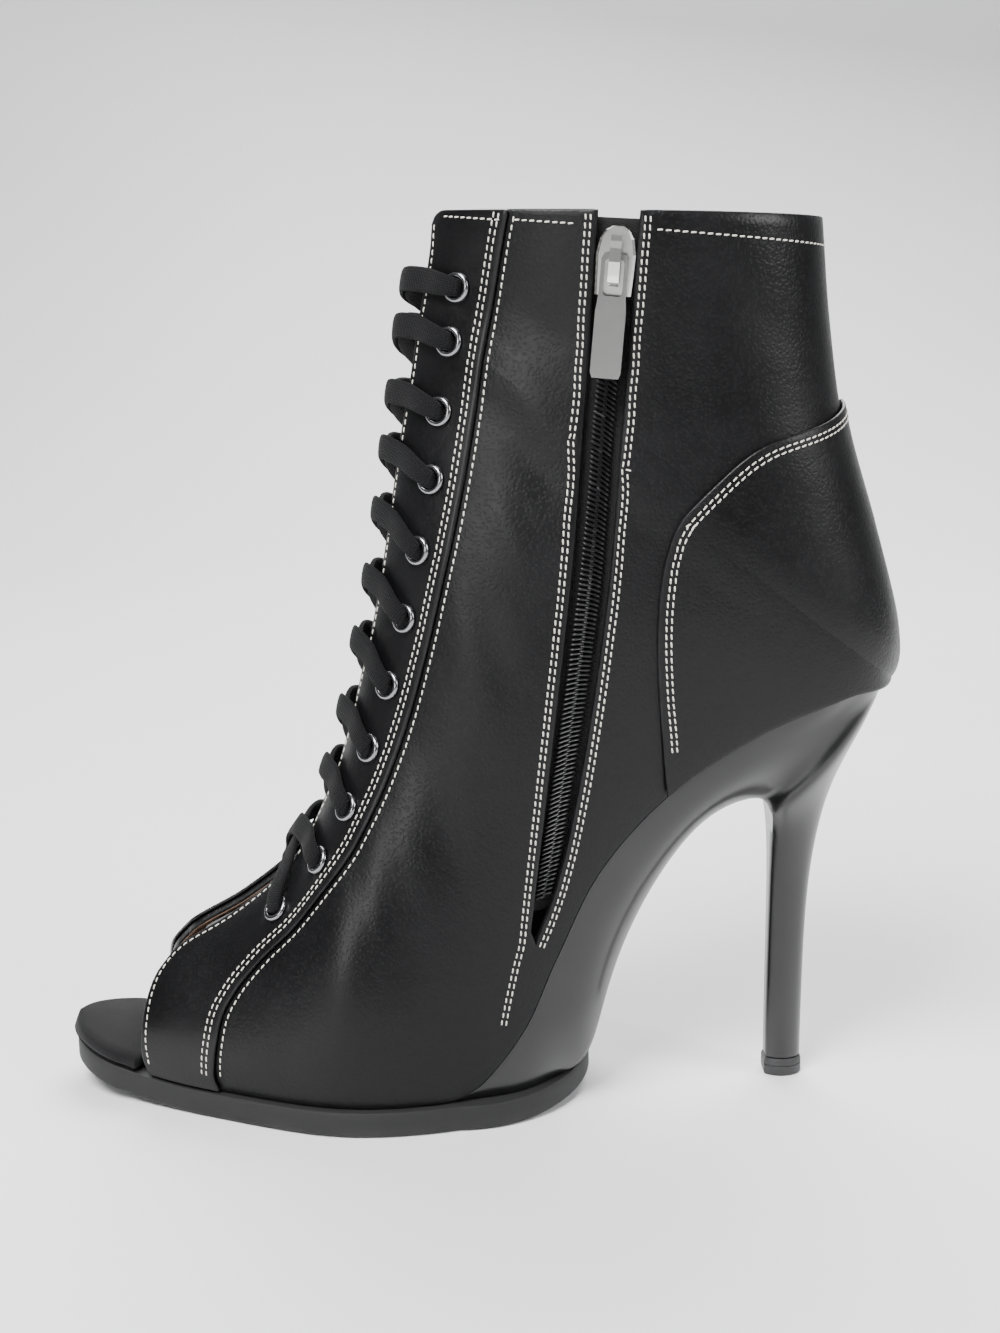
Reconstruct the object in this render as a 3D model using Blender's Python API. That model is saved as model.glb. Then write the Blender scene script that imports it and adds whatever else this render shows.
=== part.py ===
"""Open-toed lace-up ankle boot for dancing, right foot, on a slim high heel.

Metres, +Z up. The toe points towards -X, the heel towards +X, and the inner
side with the zip faces -Y. The origin is on the floor, under the middle of
the box round the shoe.

The upper follows a last: a fan of sections that turns from upright planes
across the toes to level planes round the ankle. A place on the last is given
by its station (0 at the toe, 18 at the collar), by its turn (0 on the ridge
along the front, 1 half a turn further, on the back seam) and by its side.
"""
import math

import bmesh
import bpy
import numpy as np
from mathutils import Matrix, Vector

# Sizes of the last
LENGTH = 0.2272            # toe tip to the back of the counter
BALL_WIDTH = 0.080         # across the outsole at the ball
HEEL_WIDTH = 0.060         # across the upper above the heel seat
COLLAR_WIDTH = 0.062       # across the collar
HEEL_SEAT = 0.112          # floor to the heel seat at its back
SHAFT_HEIGHT = 0.123       # heel seat to the collar
INSTEP_HEIGHT = 0.076      # outsole to the throat above the ball
TOE_SPRING = 0.0074        # lift of the toe tip
BREAST_LIFT = 0.0029       # lift of the rear end of the outsole

# Walls and clearances
CLEAR = 0.0003             # between neighbours that touch
UPPER_WALL = 0.0020
OVERLAY_WALL = 0.0010      # facings and counter
OUTSOLE_THICK = 0.0070
OUTSOLE_LIP = 0.0023       # outsole beyond the feather line
OUTSOLE_CHAMFER = 0.0012
INSOLE_THICK = 0.0043
INSOLE_ROLL = 0.0011       # insole beyond the outsole at the toe
SEAT_EASE = 0.0012         # insole short of the upper at the back of the seat
TONGUE_WALL = 0.0012
OVERLAY_LIFT = 0.0010      # lower edge of an overlay above the feather line
THROAT_GAP = 0.0170        # between the two facings
TONGUE_TUCK = 0.0085       # tongue under each facing
SAG = 0.0002               # how far the flat facets of a curved wall stand in
COLLAR_CORNER = 0.0050     # round corner of the throat at the collar

# Heel
STEM_DEPTH = 0.0098        # front to back at the tip
STEM_WIDTH = 0.0096        # across at the tip
HEEL_TIP_THICK = 0.0050
HEEL_TIP_LIP = 0.0004      # tip beyond the stem
BREAST_WIDTH = 0.0210      # across the underside of the arch
BREAST_SHARE = 0.62        # flat front of the stem, as a share of its width
HEEL_INSET = 0.0005        # top edge of the heel piece inside the feather line
SEAT_BELLY = 0.325         # half width of the heel below the round seat, share of heel width

# Eyelets and lace
EYELET_HOLE = 0.0046       # diameter of the bore
EYELET_OUTER = 0.0078
EYELET_HEIGHT = 0.0009
EYELET_BARREL = 0.0004     # wall of the barrel through the leather
LACE_WIDTH = 0.0062
LACE_THICK = 0.0016
LACE_STEP = 0.0006         # one lace lies this much over the other
LACE_OVERRUN = 0.0018      # lace past the middle of an eyelet
LACE_LIFT = 0.0005         # slack of the lace over an eyelet

# Zip
ZIP_TAPE_WALL = 0.0008
ZIP_TAPE_MARGIN = 0.0030   # tape behind the leather on each side
ZIP_SETBACK = 0.0009       # tape behind the flat facets of the wall
CHAIN_WIDTH = 0.0062
CHAIN_THICK = 0.0016
CHAIN_EDGE = 0.0007        # chain to the leather's edge where the slot narrows
SLIDER_WIDTH = 0.0096
SLIDER_LENGTH = 0.0165
SLIDER_THICK = 0.0036
SLIDER_MOUTH = 0.0040      # depth of the mouth that the chain runs into
BRIDGE_WIDTH = 0.0027
BRIDGE_LENGTH = 0.0125
BRIDGE_HEIGHT = 0.0040
BRIDGE_BAR = 0.0011
BRIDGE_FOOT = 0.0004       # feet of the bridge sunk into the slider
PULL_DROP = 0.0050         # upper end of the bridge to the hinge's axis
PULL_LENGTH = 0.0295       # hinge's axis to the lower end
PULL_WIDTH = 0.0075
PULL_NECK_WIDTH = 0.0066
PULL_THICK = 0.0012
PULL_BAR = 0.0015          # height of the bar under the bridge
PULL_HOLE_WIDTH = 0.0048
PULL_HOLE_LENGTH = 0.0088

# The mid-plane of the last lies this share of the ball width towards +Y
MID_SHARE = 0.044

# Sections of the last, one row for each station. Columns:
# front x (share of length), front height as shares of instep height, heel
# rise and shaft height, edge x, edge height as shares of heel rise and shaft
# height, width (0 ball, 1 heel, 2 collar), inner and outer half width (share
# of that width), how much the ridge is narrowed and how much the back is fuller.
SECTIONS = (
    (0.073, 0.26, 0.00, 0.00, 0.073, 0.000, 0.000, 0.00, 0.200, 0.325, 0.10, 0.00),
    (0.141, 0.46, 0.00, 0.00, 0.117, 0.000, 0.000, 0.00, 0.264, 0.365, 0.12, 0.00),
    (0.218, 0.60, 0.00, 0.00, 0.187, 0.000, 0.000, 0.00, 0.356, 0.410, 0.15, 0.00),
    (0.284, 0.77, 0.00, 0.00, 0.266, 0.000, 0.000, 0.00, 0.455, 0.440, 0.18, 0.00),
    (0.326, 1.00, 0.00, 0.00, 0.345, 0.000, 0.000, 0.00, 0.528, 0.448, 0.20, 0.00),
    (0.352, 1.00, 0.16, 0.00, 0.425, 0.000, 0.000, 0.00, 0.520, 0.442, 0.20, 0.00),
    (0.372, 1.00, 0.35, 0.00, 0.491, 0.021, 0.000, 0.10, 0.488, 0.440, 0.18, 0.00),
    (0.388, 1.00, 0.51, 0.00, 0.551, 0.160, 0.000, 0.28, 0.468, 0.440, 0.15, 0.00),
    (0.401, 0.90, 0.75, 0.00, 0.592, 0.349, 0.000, 0.50, 0.470, 0.460, 0.12, 0.02),
    (0.412, 0.75, 1.00, 0.01, 0.645, 0.570, 0.000, 0.70, 0.485, 0.480, 0.08, 0.06),
    (0.420, 0.60, 1.00, 0.21, 0.733, 0.771, 0.000, 0.85, 0.490, 0.490, 0.04, 0.14),
    (0.428, 0.45, 1.00, 0.40, 0.838, 0.917, 0.000, 0.95, 0.500, 0.500, 0.02, 0.24),
    (0.434, 0.30, 1.00, 0.58, 0.926, 0.990, 0.000, 1.00, 0.500, 0.500, 0.00, 0.32),
    (0.439, 0.20, 1.00, 0.69, 0.985, 1.000, 0.008, 1.00, 0.500, 0.500, 0.00, 0.35),
    (0.444, 0.12, 1.00, 0.79, 0.992, 1.000, 0.116, 1.00, 0.492, 0.492, 0.00, 0.35),
    (0.449, 0.06, 1.00, 0.87, 0.963, 1.000, 0.329, 1.15, 0.482, 0.482, 0.00, 0.34),
    (0.453, 0.03, 1.00, 0.92, 0.928, 1.000, 0.553, 1.40, 0.480, 0.480, 0.00, 0.30),
    (0.456, 0.01, 1.00, 0.965, 0.910, 1.000, 0.772, 1.75, 0.488, 0.488, 0.00, 0.25),
    (0.460, 0.00, 1.00, 1.00, 0.900, 1.000, 0.977, 2.00, 0.500, 0.500, 0.00, 0.20),
)
HEEL_STATION = 13          # the section that ends at the back of the seat
COLLAR_STATION = len(SECTIONS) - 1

# Feather line seen from above. Columns: x (share of length), inner and outer
# half width (share of ball width, from the mid-plane of the last).
FEATHER = (
    (0.073, 0.172, 0.288),
    (0.117, 0.229, 0.338),
    (0.187, 0.325, 0.388),
    (0.266, 0.425, 0.421),
    (0.345, 0.506, 0.428),
    (0.425, 0.494, 0.421),
    (0.491, 0.440, 0.394),
    (0.551, 0.388, 0.363),
    (0.592, 0.348, 0.344),
    (0.645, 0.313, 0.325),
    (0.733, 0.290, 0.312),
    (0.838, 0.300, 0.306),
    (0.985, 0.306, 0.306),
)
TOE_ROUND = 0.073          # forward of this share the toe is round
TOE_POWER = 1.4
TOE_TIP_ANGLE = math.radians(84)   # where the round toe is cut off flat
TOE_MIDDLE = 0.044         # the toe tip leans outwards (share of ball width)
SEAT_ROUND = 0.865         # behind this share the heel seat is round
SEAT_END = 0.985
SEAT_POWER = 2.4
SPRING_START = 0.178       # forward of this share the toe lifts
OUTSOLE_ROUND = 0.480      # behind this share the outsole's end is round
OUTSOLE_END = 0.634
TONGUE_END = 1.20          # station at the lower end of the tongue
INSOLE_WIDE = 0.088        # forward of this share the insole has its full width
INSOLE_INSIDE = 0.098      # behind this share it lies inside the upper

# Round edge of the insole. Columns: inset and height (shares of its thickness).
INSOLE_EDGE = ((0.22, 0.0), (0.0, 0.3), (0.0, 0.62), (0.24, 0.9), (0.65, 1.0))
LIFT_START = 0.508

# Seam at the rear edge of the facing, from the collar down. Columns: station,
# turn.
FACING_SEAM = (
    (18.0, 0.291), (16.0, 0.268), (14.0, 0.246), (12.4, 0.241), (10.8, 0.264), (9.6, 0.296),
    (8.4, 0.298), (7.2, 0.281), (6.0, 0.279), (5.0, 0.269),
)

# Ribs of the upper that turn round the toe opening. Columns: station on the
# throat or the toe opening, its share of the section's whole turn (0 on the
# throat), station and turn on the facing's seam, station on the feather line.
TOE_RIBS = (
    (5.00, 0.00, 5.00, 0.269, 5.00),
    (4.10, 0.00, 4.15, 0.273, 4.40),
    (3.20, 0.00, 3.35, 0.280, 3.95),
    (2.30, 0.00, 2.75, 0.300, 3.55),
    (1.55, 0.00, 2.36, 0.341, 3.20),
    (1.00, 0.230, 2.14, 0.386, 2.95),
    (0.72, 0.34, 2.03, 0.430, 2.70),
    (0.62, 0.50, 2.00, 0.485, 2.50),
    (0.60, 0.66, 2.00, 0.535, 2.35),
    (0.66, 0.84, 2.03, 0.590, 2.22),
    (0.90, 1.00, 2.15, 0.631, 2.15),
)

# Front edge of the heel counter, from its upper corner down. Columns: station,
# turn. Its top edge runs from that corner to COUNTER_TOP on the back seam.
COUNTER_EDGE = (
    (15.30, 0.655), (14.60, 0.584), (13.50, 0.527), (12.40, 0.511), (11.70, 0.507),
    (11.20, 0.529), (10.80, 0.565), (10.40, 0.623), (10.10, 0.686), (9.88, 0.757),
)
COUNTER_TOP = 16.2         # station on the back seam
COUNTER_BEND = 1.6         # how the top edge rises towards the back seam

# Slot of the zip. Columns: station and turn of the front edge, station and
# turn of the rear edge.
ZIP_SLOT = (
    (18.30, 0.443, 18.30, 0.512), (17.00, 0.431, 17.00, 0.500), (15.80, 0.417, 15.80, 0.476),
    (14.40, 0.395, 14.40, 0.444), (13.00, 0.383, 13.20, 0.436), (11.90, 0.395, 12.00, 0.443),
    (11.00, 0.429, 11.20, 0.474), (10.00, 0.496, 10.35, 0.531), (9.30, 0.549, 9.80, 0.582),
    (8.70, 0.582, 9.20, 0.629), (8.20, 0.596, 8.65, 0.657), (7.85, 0.606, 8.22, 0.652),
    (7.66, 0.612, 7.76, 0.626),
)
SLIDER_ROW = 0.92          # place of the slider's middle down the rows of the slot

# Slider seen from the front. Columns: place from its top (share of its
# length), half width (share).
SLIDER_OUTLINE = ((0.0, 0.30), (0.06, 0.62), (0.18, 0.86), (0.40, 1.0), (0.75, 0.96), (1.0, 0.92))

# Right half of the pull, from the top. Columns: half width (share of the
# width), place below the bar (share of the length), half width of the hole
# (share), place down the hole (share).
PULL_OUTLINE = (
    (0.20, 0.000, 0.30, 0.00), (0.36, 0.008, 0.45, 0.03), (0.44, 0.045, 0.50, 0.12),
    (0.44, 0.320, 0.50, 0.85), (0.47, 0.400, 0.47, 0.95), (0.50, 0.460, 0.35, 1.00),
    (0.50, 0.950, 0.20, 1.00), (0.43, 0.993, 0.08, 1.00),
)

# Eyelets from the collar down. Columns: station, turn.
EYELETS = (
    (14.75, 0.185), (12.75, 0.182), (10.93, 0.192), (9.83, 0.220), (8.75, 0.228), (7.75, 0.221),
    (6.70, 0.210), (5.72, 0.206), (4.78, 0.204), (3.83, 0.212), (2.80, 0.208),
)

# Underside of the heel piece, below each place of the feather line. Columns:
# station, underside x (share of length) and height (share of the heel seat's
# height; on top of the outsole where it is 0).
HEEL_UNDERSIDE = (
    (5.70, 0.472, 0.000),
    (6.20, 0.510, 0.000),
    (7.00, 0.568, 0.000),
    (7.60, 0.602, 0.000),
    (8.00, 0.622, 0.000),
    (8.30, 0.6355, 0.120),
    (8.70, 0.646, 0.235),
    (9.20, 0.667, 0.355),
    (9.88, 0.713, 0.535),
    (10.50, 0.756, 0.658),
    (11.00, 0.786, 0.704),
    (11.80, 0.815, 0.724),
    (12.40, 0.832, 0.725),
    (13.00, 0.843, 0.715),
)

# Back of the heel below the seat. Columns: back x, back height, front x,
# front height, half width (share of heel width).
HEEL_STEM = (
    (0.976, 0.975, 0.845, 0.708, 0.350),
    (0.957, 0.900, 0.849, 0.690, 0.300),
    (0.933, 0.795, 0.851, 0.655, 0.215),
    (0.919, 0.716, 0.852, 0.610, 0.155),
    (0.907, 0.610, 0.852, 0.545, 0.112),
    (0.900, 0.505, 0.852, 0.470, 0.094),
    (0.896, 0.395, 0.8515, 0.380, 0.086),
    (0.894, 0.250, 0.851, 0.245, 0.082),
    (0.8925, 0.120, 0.8505, 0.120, 0.080),
)

# Colours: base colour, roughness, metallic
FINISHES = {
    "leather": ((0.012, 0.012, 0.013), 0.42, 0.0),
    "facing_leather": ((0.011, 0.011, 0.012), 0.38, 0.0),
    "heel_lacquer": ((0.010, 0.010, 0.011), 0.30, 0.0),
    "outsole_rubber": ((0.014, 0.014, 0.015), 0.65, 0.0),
    "tip_rubber": ((0.020, 0.020, 0.021), 0.55, 0.0),
    "insole_suede": ((0.008, 0.008, 0.009), 0.95, 0.0),
    "tongue_cloth": ((0.022, 0.022, 0.023), 0.55, 0.0),
    "eyelet_metal": ((0.16, 0.16, 0.17), 0.25, 1.0),
    "lace_cotton": ((0.010, 0.010, 0.011), 0.85, 0.0),
    "zip_tape": ((0.010, 0.010, 0.010), 0.80, 0.0),
    "zip_coil": ((0.014, 0.014, 0.014), 0.45, 0.0),
    "zip_metal": ((0.62, 0.61, 0.60), 0.20, 1.0),
}

HEEL_RISE = HEEL_SEAT - OUTSOLE_THICK
MID_Y = MID_SHARE * BALL_WIDTH
INNER, OUTER = -1, 1       # sides: the inner side faces -Y


def x_at(share):
    """World x of a share of the length, 0 at the toe tip."""
    return (np.asarray(share, float) - 0.5) * LENGTH


def between_rows(table, place):
    """Smooth curve through the rows of a table, one row for each whole place."""
    table = np.asarray(table, float)
    slope = np.empty_like(table)
    slope[1:-1] = (table[2:] - table[:-2]) / 2
    slope[0], slope[-1] = table[1] - table[0], table[-1] - table[-2]
    place = np.clip(np.asarray(place, float), 0, len(table) - 1)
    row = np.minimum(place.astype(int), len(table) - 2)
    u = (place - row)[..., None]
    return ((2 * u**3 - 3 * u**2 + 1) * table[row] + (u**3 - 2 * u**2 + u) * slope[row]
            + (3 * u**2 - 2 * u**3) * table[row + 1] + (u**3 - u**2) * slope[row + 1])


def read_column(xs, ys, x):
    """Smooth reading of y at x that never overshoots its neighbours."""
    xs, ys, x = (np.asarray(v, float) for v in (xs, ys, x))
    step, rate = np.diff(xs), np.diff(ys) / np.diff(xs)
    slope = np.zeros(len(xs))
    slope[0], slope[-1] = rate[0], rate[-1]
    for k in range(1, len(xs) - 1):
        if rate[k - 1] * rate[k] > 0:
            near, far = 2 * step[k] + step[k - 1], step[k] + 2 * step[k - 1]
            slope[k] = (near + far) / (near / rate[k - 1] + far / rate[k])
    x = np.clip(x, xs[0], xs[-1])
    k = np.clip(np.searchsorted(xs, x) - 1, 0, len(xs) - 2)
    u = (x - xs[k]) / step[k]
    return ((2 * u**3 - 3 * u**2 + 1) * ys[k] + (u**3 - 2 * u**2 + u) * step[k] * slope[k]
            + (3 * u**2 - 2 * u**3) * ys[k + 1] + (u**3 - u**2) * step[k] * slope[k + 1])


def sole_bottom(share):
    """Height of the underside of the outsole: toe spring and lifted rear end."""
    toe = np.clip((SPRING_START - share) / SPRING_START, 0, 1.2)
    rear = np.clip((share - LIFT_START) / (OUTSOLE_END - LIFT_START), 0, None)
    rear = np.where(np.asarray(share) > OUTSOLE_END, 0, rear)
    return TOE_SPRING * toe**2 + BREAST_LIFT * rear**2


def feather_half(share, side):
    """Half width of the feather line from the mid-plane, at a share of the length."""
    table = np.array(FEATHER)
    share = np.asarray(share, float)
    half = read_column(table[:, 0], table[:, 1 if side == INNER else 2], share) * BALL_WIDTH
    seat = np.clip((share - SEAT_ROUND) / (SEAT_END - SEAT_ROUND), 0, 1)
    return half * np.sqrt(1 - seat**SEAT_POWER)


def toe_rounding(share, tip, half, side):
    """Half width of a round toe that ends at the share tip, on its leaning middle."""
    middle = side * TOE_MIDDLE * BALL_WIDTH
    r = np.clip((TOE_ROUND - np.asarray(share, float)) / (TOE_ROUND - tip), 0, 1)
    return middle + (half - middle) * np.sqrt(1 - r**TOE_POWER)


def section(station):
    """Front point, edge point (x, z), widths and ridge of the section at a station."""
    row = between_rows(SECTIONS, station)
    front = np.stack([x_at(row[..., 0]), OUTSOLE_THICK + CLEAR + row[..., 1] * INSTEP_HEIGHT
                      + row[..., 2] * (HEEL_RISE - CLEAR) + row[..., 3] * SHAFT_HEIGHT], -1)
    spring = np.where(row[..., 4] < SPRING_START, sole_bottom(row[..., 4]), 0)
    edge = np.stack([x_at(row[..., 4]), OUTSOLE_THICK + CLEAR + spring
                     + row[..., 5] * HEEL_RISE + row[..., 6] * SHAFT_HEIGHT], -1)
    widths = np.array((BALL_WIDTH, HEEL_WIDTH, COLLAR_WIDTH))
    width = np.interp(row[..., 7], (0, 1, 2), widths)
    return front, edge, row[..., 4], width, row[..., 8], row[..., 9], row[..., 10], row[..., 11]


def bulge(turn, fullness):
    """Share of the half width at a turn: half a sine wave, fuller towards the back."""
    angle = turn * math.pi
    return np.sin(angle) * (1 + fullness * ((1 - np.cos(angle)) / 2)**3)


def edge_turn(station, side):
    """Turn at which the section ends: on the feather line, or 1 on the back seam."""
    _, _, share, width, inner, outer, _, fullness = section(station)
    half = width * (inner if side == INNER else outer)
    foot = np.where(np.asarray(station) >= HEEL_STATION, 0, feather_half(share, side))
    goal = np.clip(foot / half, 0, 0.999)
    low, high = np.full_like(goal, 0.5), np.ones_like(goal)
    for _ in range(32):
        middle = (low + high) / 2
        wide = bulge(middle, fullness) > goal
        low, high = np.where(wide, middle, low), np.where(wide, high, middle)
    return np.where(goal > 0, (low + high) / 2, 1.0)


def last(station, turn, side):
    """Point of the last. The turn is an angle round the section, from its ridge."""
    station, turn = np.broadcast_arrays(np.asarray(station, float), np.asarray(turn, float))
    front, edge, _, width, inner, outer, ridge, fullness = section(station)
    half = width * (inner if side == INNER else outer)
    end = np.cos(edge_turn(station, side) * math.pi)
    up = (np.cos(turn * math.pi) - end) / (1 - end)
    y = half * bulge(turn, fullness) * (1 - ridge * np.clip(up, 0, 1)**2)
    flat = edge + up[..., None] * (front - edge)
    return np.stack([flat[..., 0], MID_Y + side * y, flat[..., 1]], -1)


def outward(station, turn, side, step=1e-3):
    """Outward normal of the last, from small steps along it and round it."""
    station, turn = np.broadcast_arrays(np.asarray(station, float), np.asarray(turn, float))
    low, high = np.clip(station - step, 0, None), np.clip(station + step, None, COLLAR_STATION)
    along = last(high, turn, side) - last(low, turn, side)
    across = last(station, turn + step, side) - last(station, turn - step, side)
    normal = np.cross(along, across) * side
    return normal / np.linalg.norm(normal, axis=-1, keepdims=True)


def lifted(station, turn, side, lift):
    """Point at a height over the last; a height below zero is inside it."""
    beyond = np.clip(np.asarray(station, float) - COLLAR_STATION, 0, None)
    point = last(np.minimum(station, COLLAR_STATION), turn, side)
    point = point + outward(np.minimum(station, COLLAR_STATION), turn, side) * lift
    return point + beyond[..., None] * np.array((0, 0, SHAFT_HEIGHT / 20))


def turn_at_half(station, half_width, side):
    """Turn at which the section is this far from the mid-plane, near its ridge."""
    low, high = np.zeros_like(station), np.full_like(station, 0.45)
    for _ in range(30):
        middle = (low + high) / 2
        wide = side * (last(station, middle, side)[..., 1] - MID_Y) > half_width
        low, high = np.where(wide, low, middle), np.where(wide, middle, high)
    return (low + high) / 2


def throat_turn(station, side):
    """Turn of the throat's edge."""
    return turn_at_half(np.asarray(station, float), THROAT_GAP / 2, side)


def collar_station(arc):
    """Station of the collar's edge at a distance round it from the throat's edge."""
    corner = np.clip(1 - arc / COLLAR_CORNER, 0, 1)
    return COLLAR_STATION - 0.85 * (1 - np.sqrt(1 - corner**2))


def new_material(name):
    """Principled material of a named finish."""
    colour, roughness, metallic = FINISHES[name]
    material = bpy.data.materials.new(name)
    material.use_nodes = True
    shader = material.node_tree.nodes["Principled BSDF"]
    shader.inputs["Base Color"].default_value = (*colour, 1)
    shader.inputs["Roughness"].default_value = roughness
    shader.inputs["Metallic"].default_value = metallic
    material.diffuse_color = (*colour, 1)
    return material


def add_object(name, points, faces, finish, smooth=50, cutter=False):
    """Object from points and faces, with doubles merged and faces turned outwards."""
    mesh = bpy.data.meshes.new(name)
    mesh.from_pydata([tuple(p) for p in points], [], faces)
    work = bmesh.new()
    work.from_mesh(mesh)
    bmesh.ops.remove_doubles(work, verts=work.verts, dist=2e-6)
    bmesh.ops.dissolve_degenerate(work, edges=work.edges, dist=1e-6)
    bmesh.ops.recalc_face_normals(work, faces=work.faces)
    work.to_mesh(mesh)
    work.free()
    if smooth:
        mesh.shade_smooth()
        mesh.set_sharp_from_angle(angle=math.radians(smooth))
    thing = bpy.data.objects.new(name, mesh)
    bpy.context.scene.collection.objects.link(thing)
    if cutter:
        thing.hide_render = True
        thing.display_type = "WIRE"
    elif finish:
        mesh.materials.append(bpy.data.materials.get(finish) or new_material(finish))
    return thing


def grid_faces(rows, columns, first, flip=False, wrap=False):
    """Triangles of a grid of points whose numbers start at first, row by row.

    Every grid splits its cells along the same diagonal, so that walls laid
    over each other on one grid have parallel facets.
    """
    faces = []
    for i in range(rows - 1):
        for j in range(columns - (0 if wrap else 1)):
            k = (j + 1) % columns
            a, b = first + i * columns + j, first + (i + 1) * columns + j
            c, d = first + (i + 1) * columns + k, first + i * columns + k
            pair = ([a, b, c], [a, c, d])
            faces += [f[::-1] for f in pair] if flip else list(pair)
    return faces


def shell(outer_grids, inner_grids):
    """Closed wall between grids of outer and inner points, with all its rims."""
    points, faces = [], []
    for outer, inner in zip(outer_grids, inner_grids):
        rows, columns = outer.shape[:2]
        first = len(points)
        points += list(outer.reshape(-1, 3)) + list(inner.reshape(-1, 3))
        back = first + rows * columns
        faces += grid_faces(rows, columns, first) + grid_faces(rows, columns, back, flip=True)
        loop = ([(i, 0) for i in range(rows)] + [(rows - 1, j) for j in range(1, columns)]
                + [(i, columns - 1) for i in range(rows - 2, -1, -1)]
                + [(0, j) for j in range(columns - 2, 0, -1)])
        for (i, j), (k, m) in zip(loop, loop[1:] + loop[:1]):
            a, b = i * columns + j, k * columns + m
            faces.append([first + a, back + a, back + b, first + b])
    return points, faces


def drop_shared_rims(points, faces):
    """Leave out rim quads that two joined grids share, so that the wall is one body."""
    keys = [tuple(np.round(np.asarray(p) * 2e5).astype(int)) for p in points]
    seen = {}
    for number, face in enumerate(faces):
        seen.setdefault(frozenset(keys[v] for v in face), []).append(number)
    shared = {n for group in seen.values() if len(group) > 1 for n in group}
    return [face for n, face in enumerate(faces) if n not in shared]


def loft(rings):
    """Closed solid through rings of points, capped at both ends."""
    rings = np.asarray(rings)
    rows, columns = rings.shape[:2]
    faces = grid_faces(rows, columns, 0, wrap=True)
    faces.append(list(range(columns)))
    faces.append(list(range((rows - 1) * columns, rows * columns))[::-1])
    return list(rings.reshape(-1, 3)), faces


def even(start, end, count):
    """Evenly spaced values from start to end."""
    return np.linspace(start, end, count)


def ribs(side):
    """Ribs of the upper, from the collar to the toe corner.

    Each rib has a place on the throat's edge, on the facing's seam, on the
    counter's front edge and on the feather line or back seam: an array of
    ribs, places, and station with turn.
    """
    seam, counter = np.array(FACING_SEAM)[::-1], np.array(COUNTER_EDGE)[::-1]
    seat = 11 + 2 * np.sin(even(0, math.pi / 2, 5))
    level = np.concatenate([[18.0, 17.1], even(COUNTER_TOP, HEEL_STATION, 4), seat[:-1][::-1],
                            even(11, counter[0, 0], 4)[1:], even(counter[0, 0], 5.0, 8)[1:-1]])
    sink = np.interp(level, (HEEL_STATION, COUNTER_TOP, COLLAR_STATION), (0, 1, 0))
    front = level - sink * (COUNTER_TOP - counter[-1, 0]) / 2
    toe = between_rows(TOE_RIBS, even(0, len(TOE_RIBS) - 1, 12))
    station = np.concatenate([front, toe[:, 0]])
    share = np.concatenate([np.zeros_like(front), toe[:, 1]])
    turn = np.maximum(throat_turn(station, side), share * edge_turn(station, side))
    seam_station = np.concatenate([front, toe[:, 2]])
    seam_turn = np.concatenate([read_column(seam[:, 0], seam[:, 1], front), toe[:, 3]])
    seam_turn[-1] = edge_turn(seam_station[-1], side)
    foot_station = np.concatenate([level, toe[:, 4]])
    foot_turn = edge_turn(foot_station, side)
    corner = foot_station - np.concatenate([sink, 0 * toe[:, 4]]) * (COUNTER_TOP - counter[-1, 0])
    edge = read_column(counter[:, 0], counter[:, 1], corner)
    edge = np.where(foot_station >= counter[0, 0], np.minimum(edge, foot_turn), foot_turn)
    return np.stack([np.stack([station, turn], -1), np.stack([seam_station, seam_turn], -1),
                     np.stack([corner, edge], -1), np.stack([foot_station, foot_turn], -1)], 1)


def span(start, end, cells, side, bend=1.0):
    """Places from start to end, each by its share of its own section's whole turn."""
    v = even(0, 1, cells + 1)[None]
    station = start[:, :1] + (end[:, :1] - start[:, :1]) * (1 - (1 - v)**bend)
    first = start[:, 1:] / edge_turn(start[:, :1], side)
    last_share = end[:, 1:] / edge_turn(end[:, :1], side)
    return np.stack([station, (first + (last_share - first) * v) * edge_turn(station, side)], -1)


def round_collar(place, side):
    """Lower the collar's corner at the throat: the top rib only."""
    top = place[0].copy()
    spot = last(top[:, 0], top[:, 1], side)
    arc = np.concatenate([[0], np.cumsum(np.linalg.norm(np.diff(spot, axis=0), axis=-1))])
    place = place.copy()
    place[0, :, 0] = collar_station(arc)
    return place


FACING_CELLS, SIDE_CELLS, COUNTER_CELLS = 3, 5, 3


def upper_grid(side, lift):
    """Grid of points of the upper, from throat or toe opening to feather or back seam."""
    throat, seam, counter, foot = np.moveaxis(ribs(side), 1, 0)
    place = np.concatenate([span(throat, seam, FACING_CELLS, side),
                            span(seam, counter, SIDE_CELLS, side)[:, 1:],
                            span(counter, foot, COUNTER_CELLS, side, COUNTER_BEND)[:, 1:]], 1)
    place = round_collar(place, side)
    return lifted(place[..., 0], place[..., 1], side, lift)


def build_upper():
    """The hollow upper: two sides joined along the back seam."""
    outer = [upper_grid(side, 0) for side in (INNER, OUTER)]
    inner = [upper_grid(side, -UPPER_WALL) for side in (INNER, OUTER)]
    points, faces = shell(outer, inner)
    faces = drop_shared_rims(points, faces)
    upper = add_object("upper", points, faces, "leather")
    front_rear = even(0, 1, 3)[None]
    rows = even(0, len(ZIP_SLOT) - 1, 19)[:, None]
    slot = [slot_points(rows, front_rear, lift) for lift in (0.002, -UPPER_WALL - 0.001)]
    points, faces = shell([slot[0]], [slot[1]])
    cut(upper, add_object("zip_slot", points, faces, None, smooth=0, cutter=True))
    return upper


def above_edge(station, side):
    """Turn of an overlay's lower edge, a little above the feather line or on the back seam."""
    end = edge_turn(station, side)
    step = 0.02
    reach = np.linalg.norm(last(station, end, side) - last(station, end - step, side), axis=-1)
    return np.where(np.asarray(station) < HEEL_STATION, end - step * OVERLAY_LIFT / reach, end)


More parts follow.
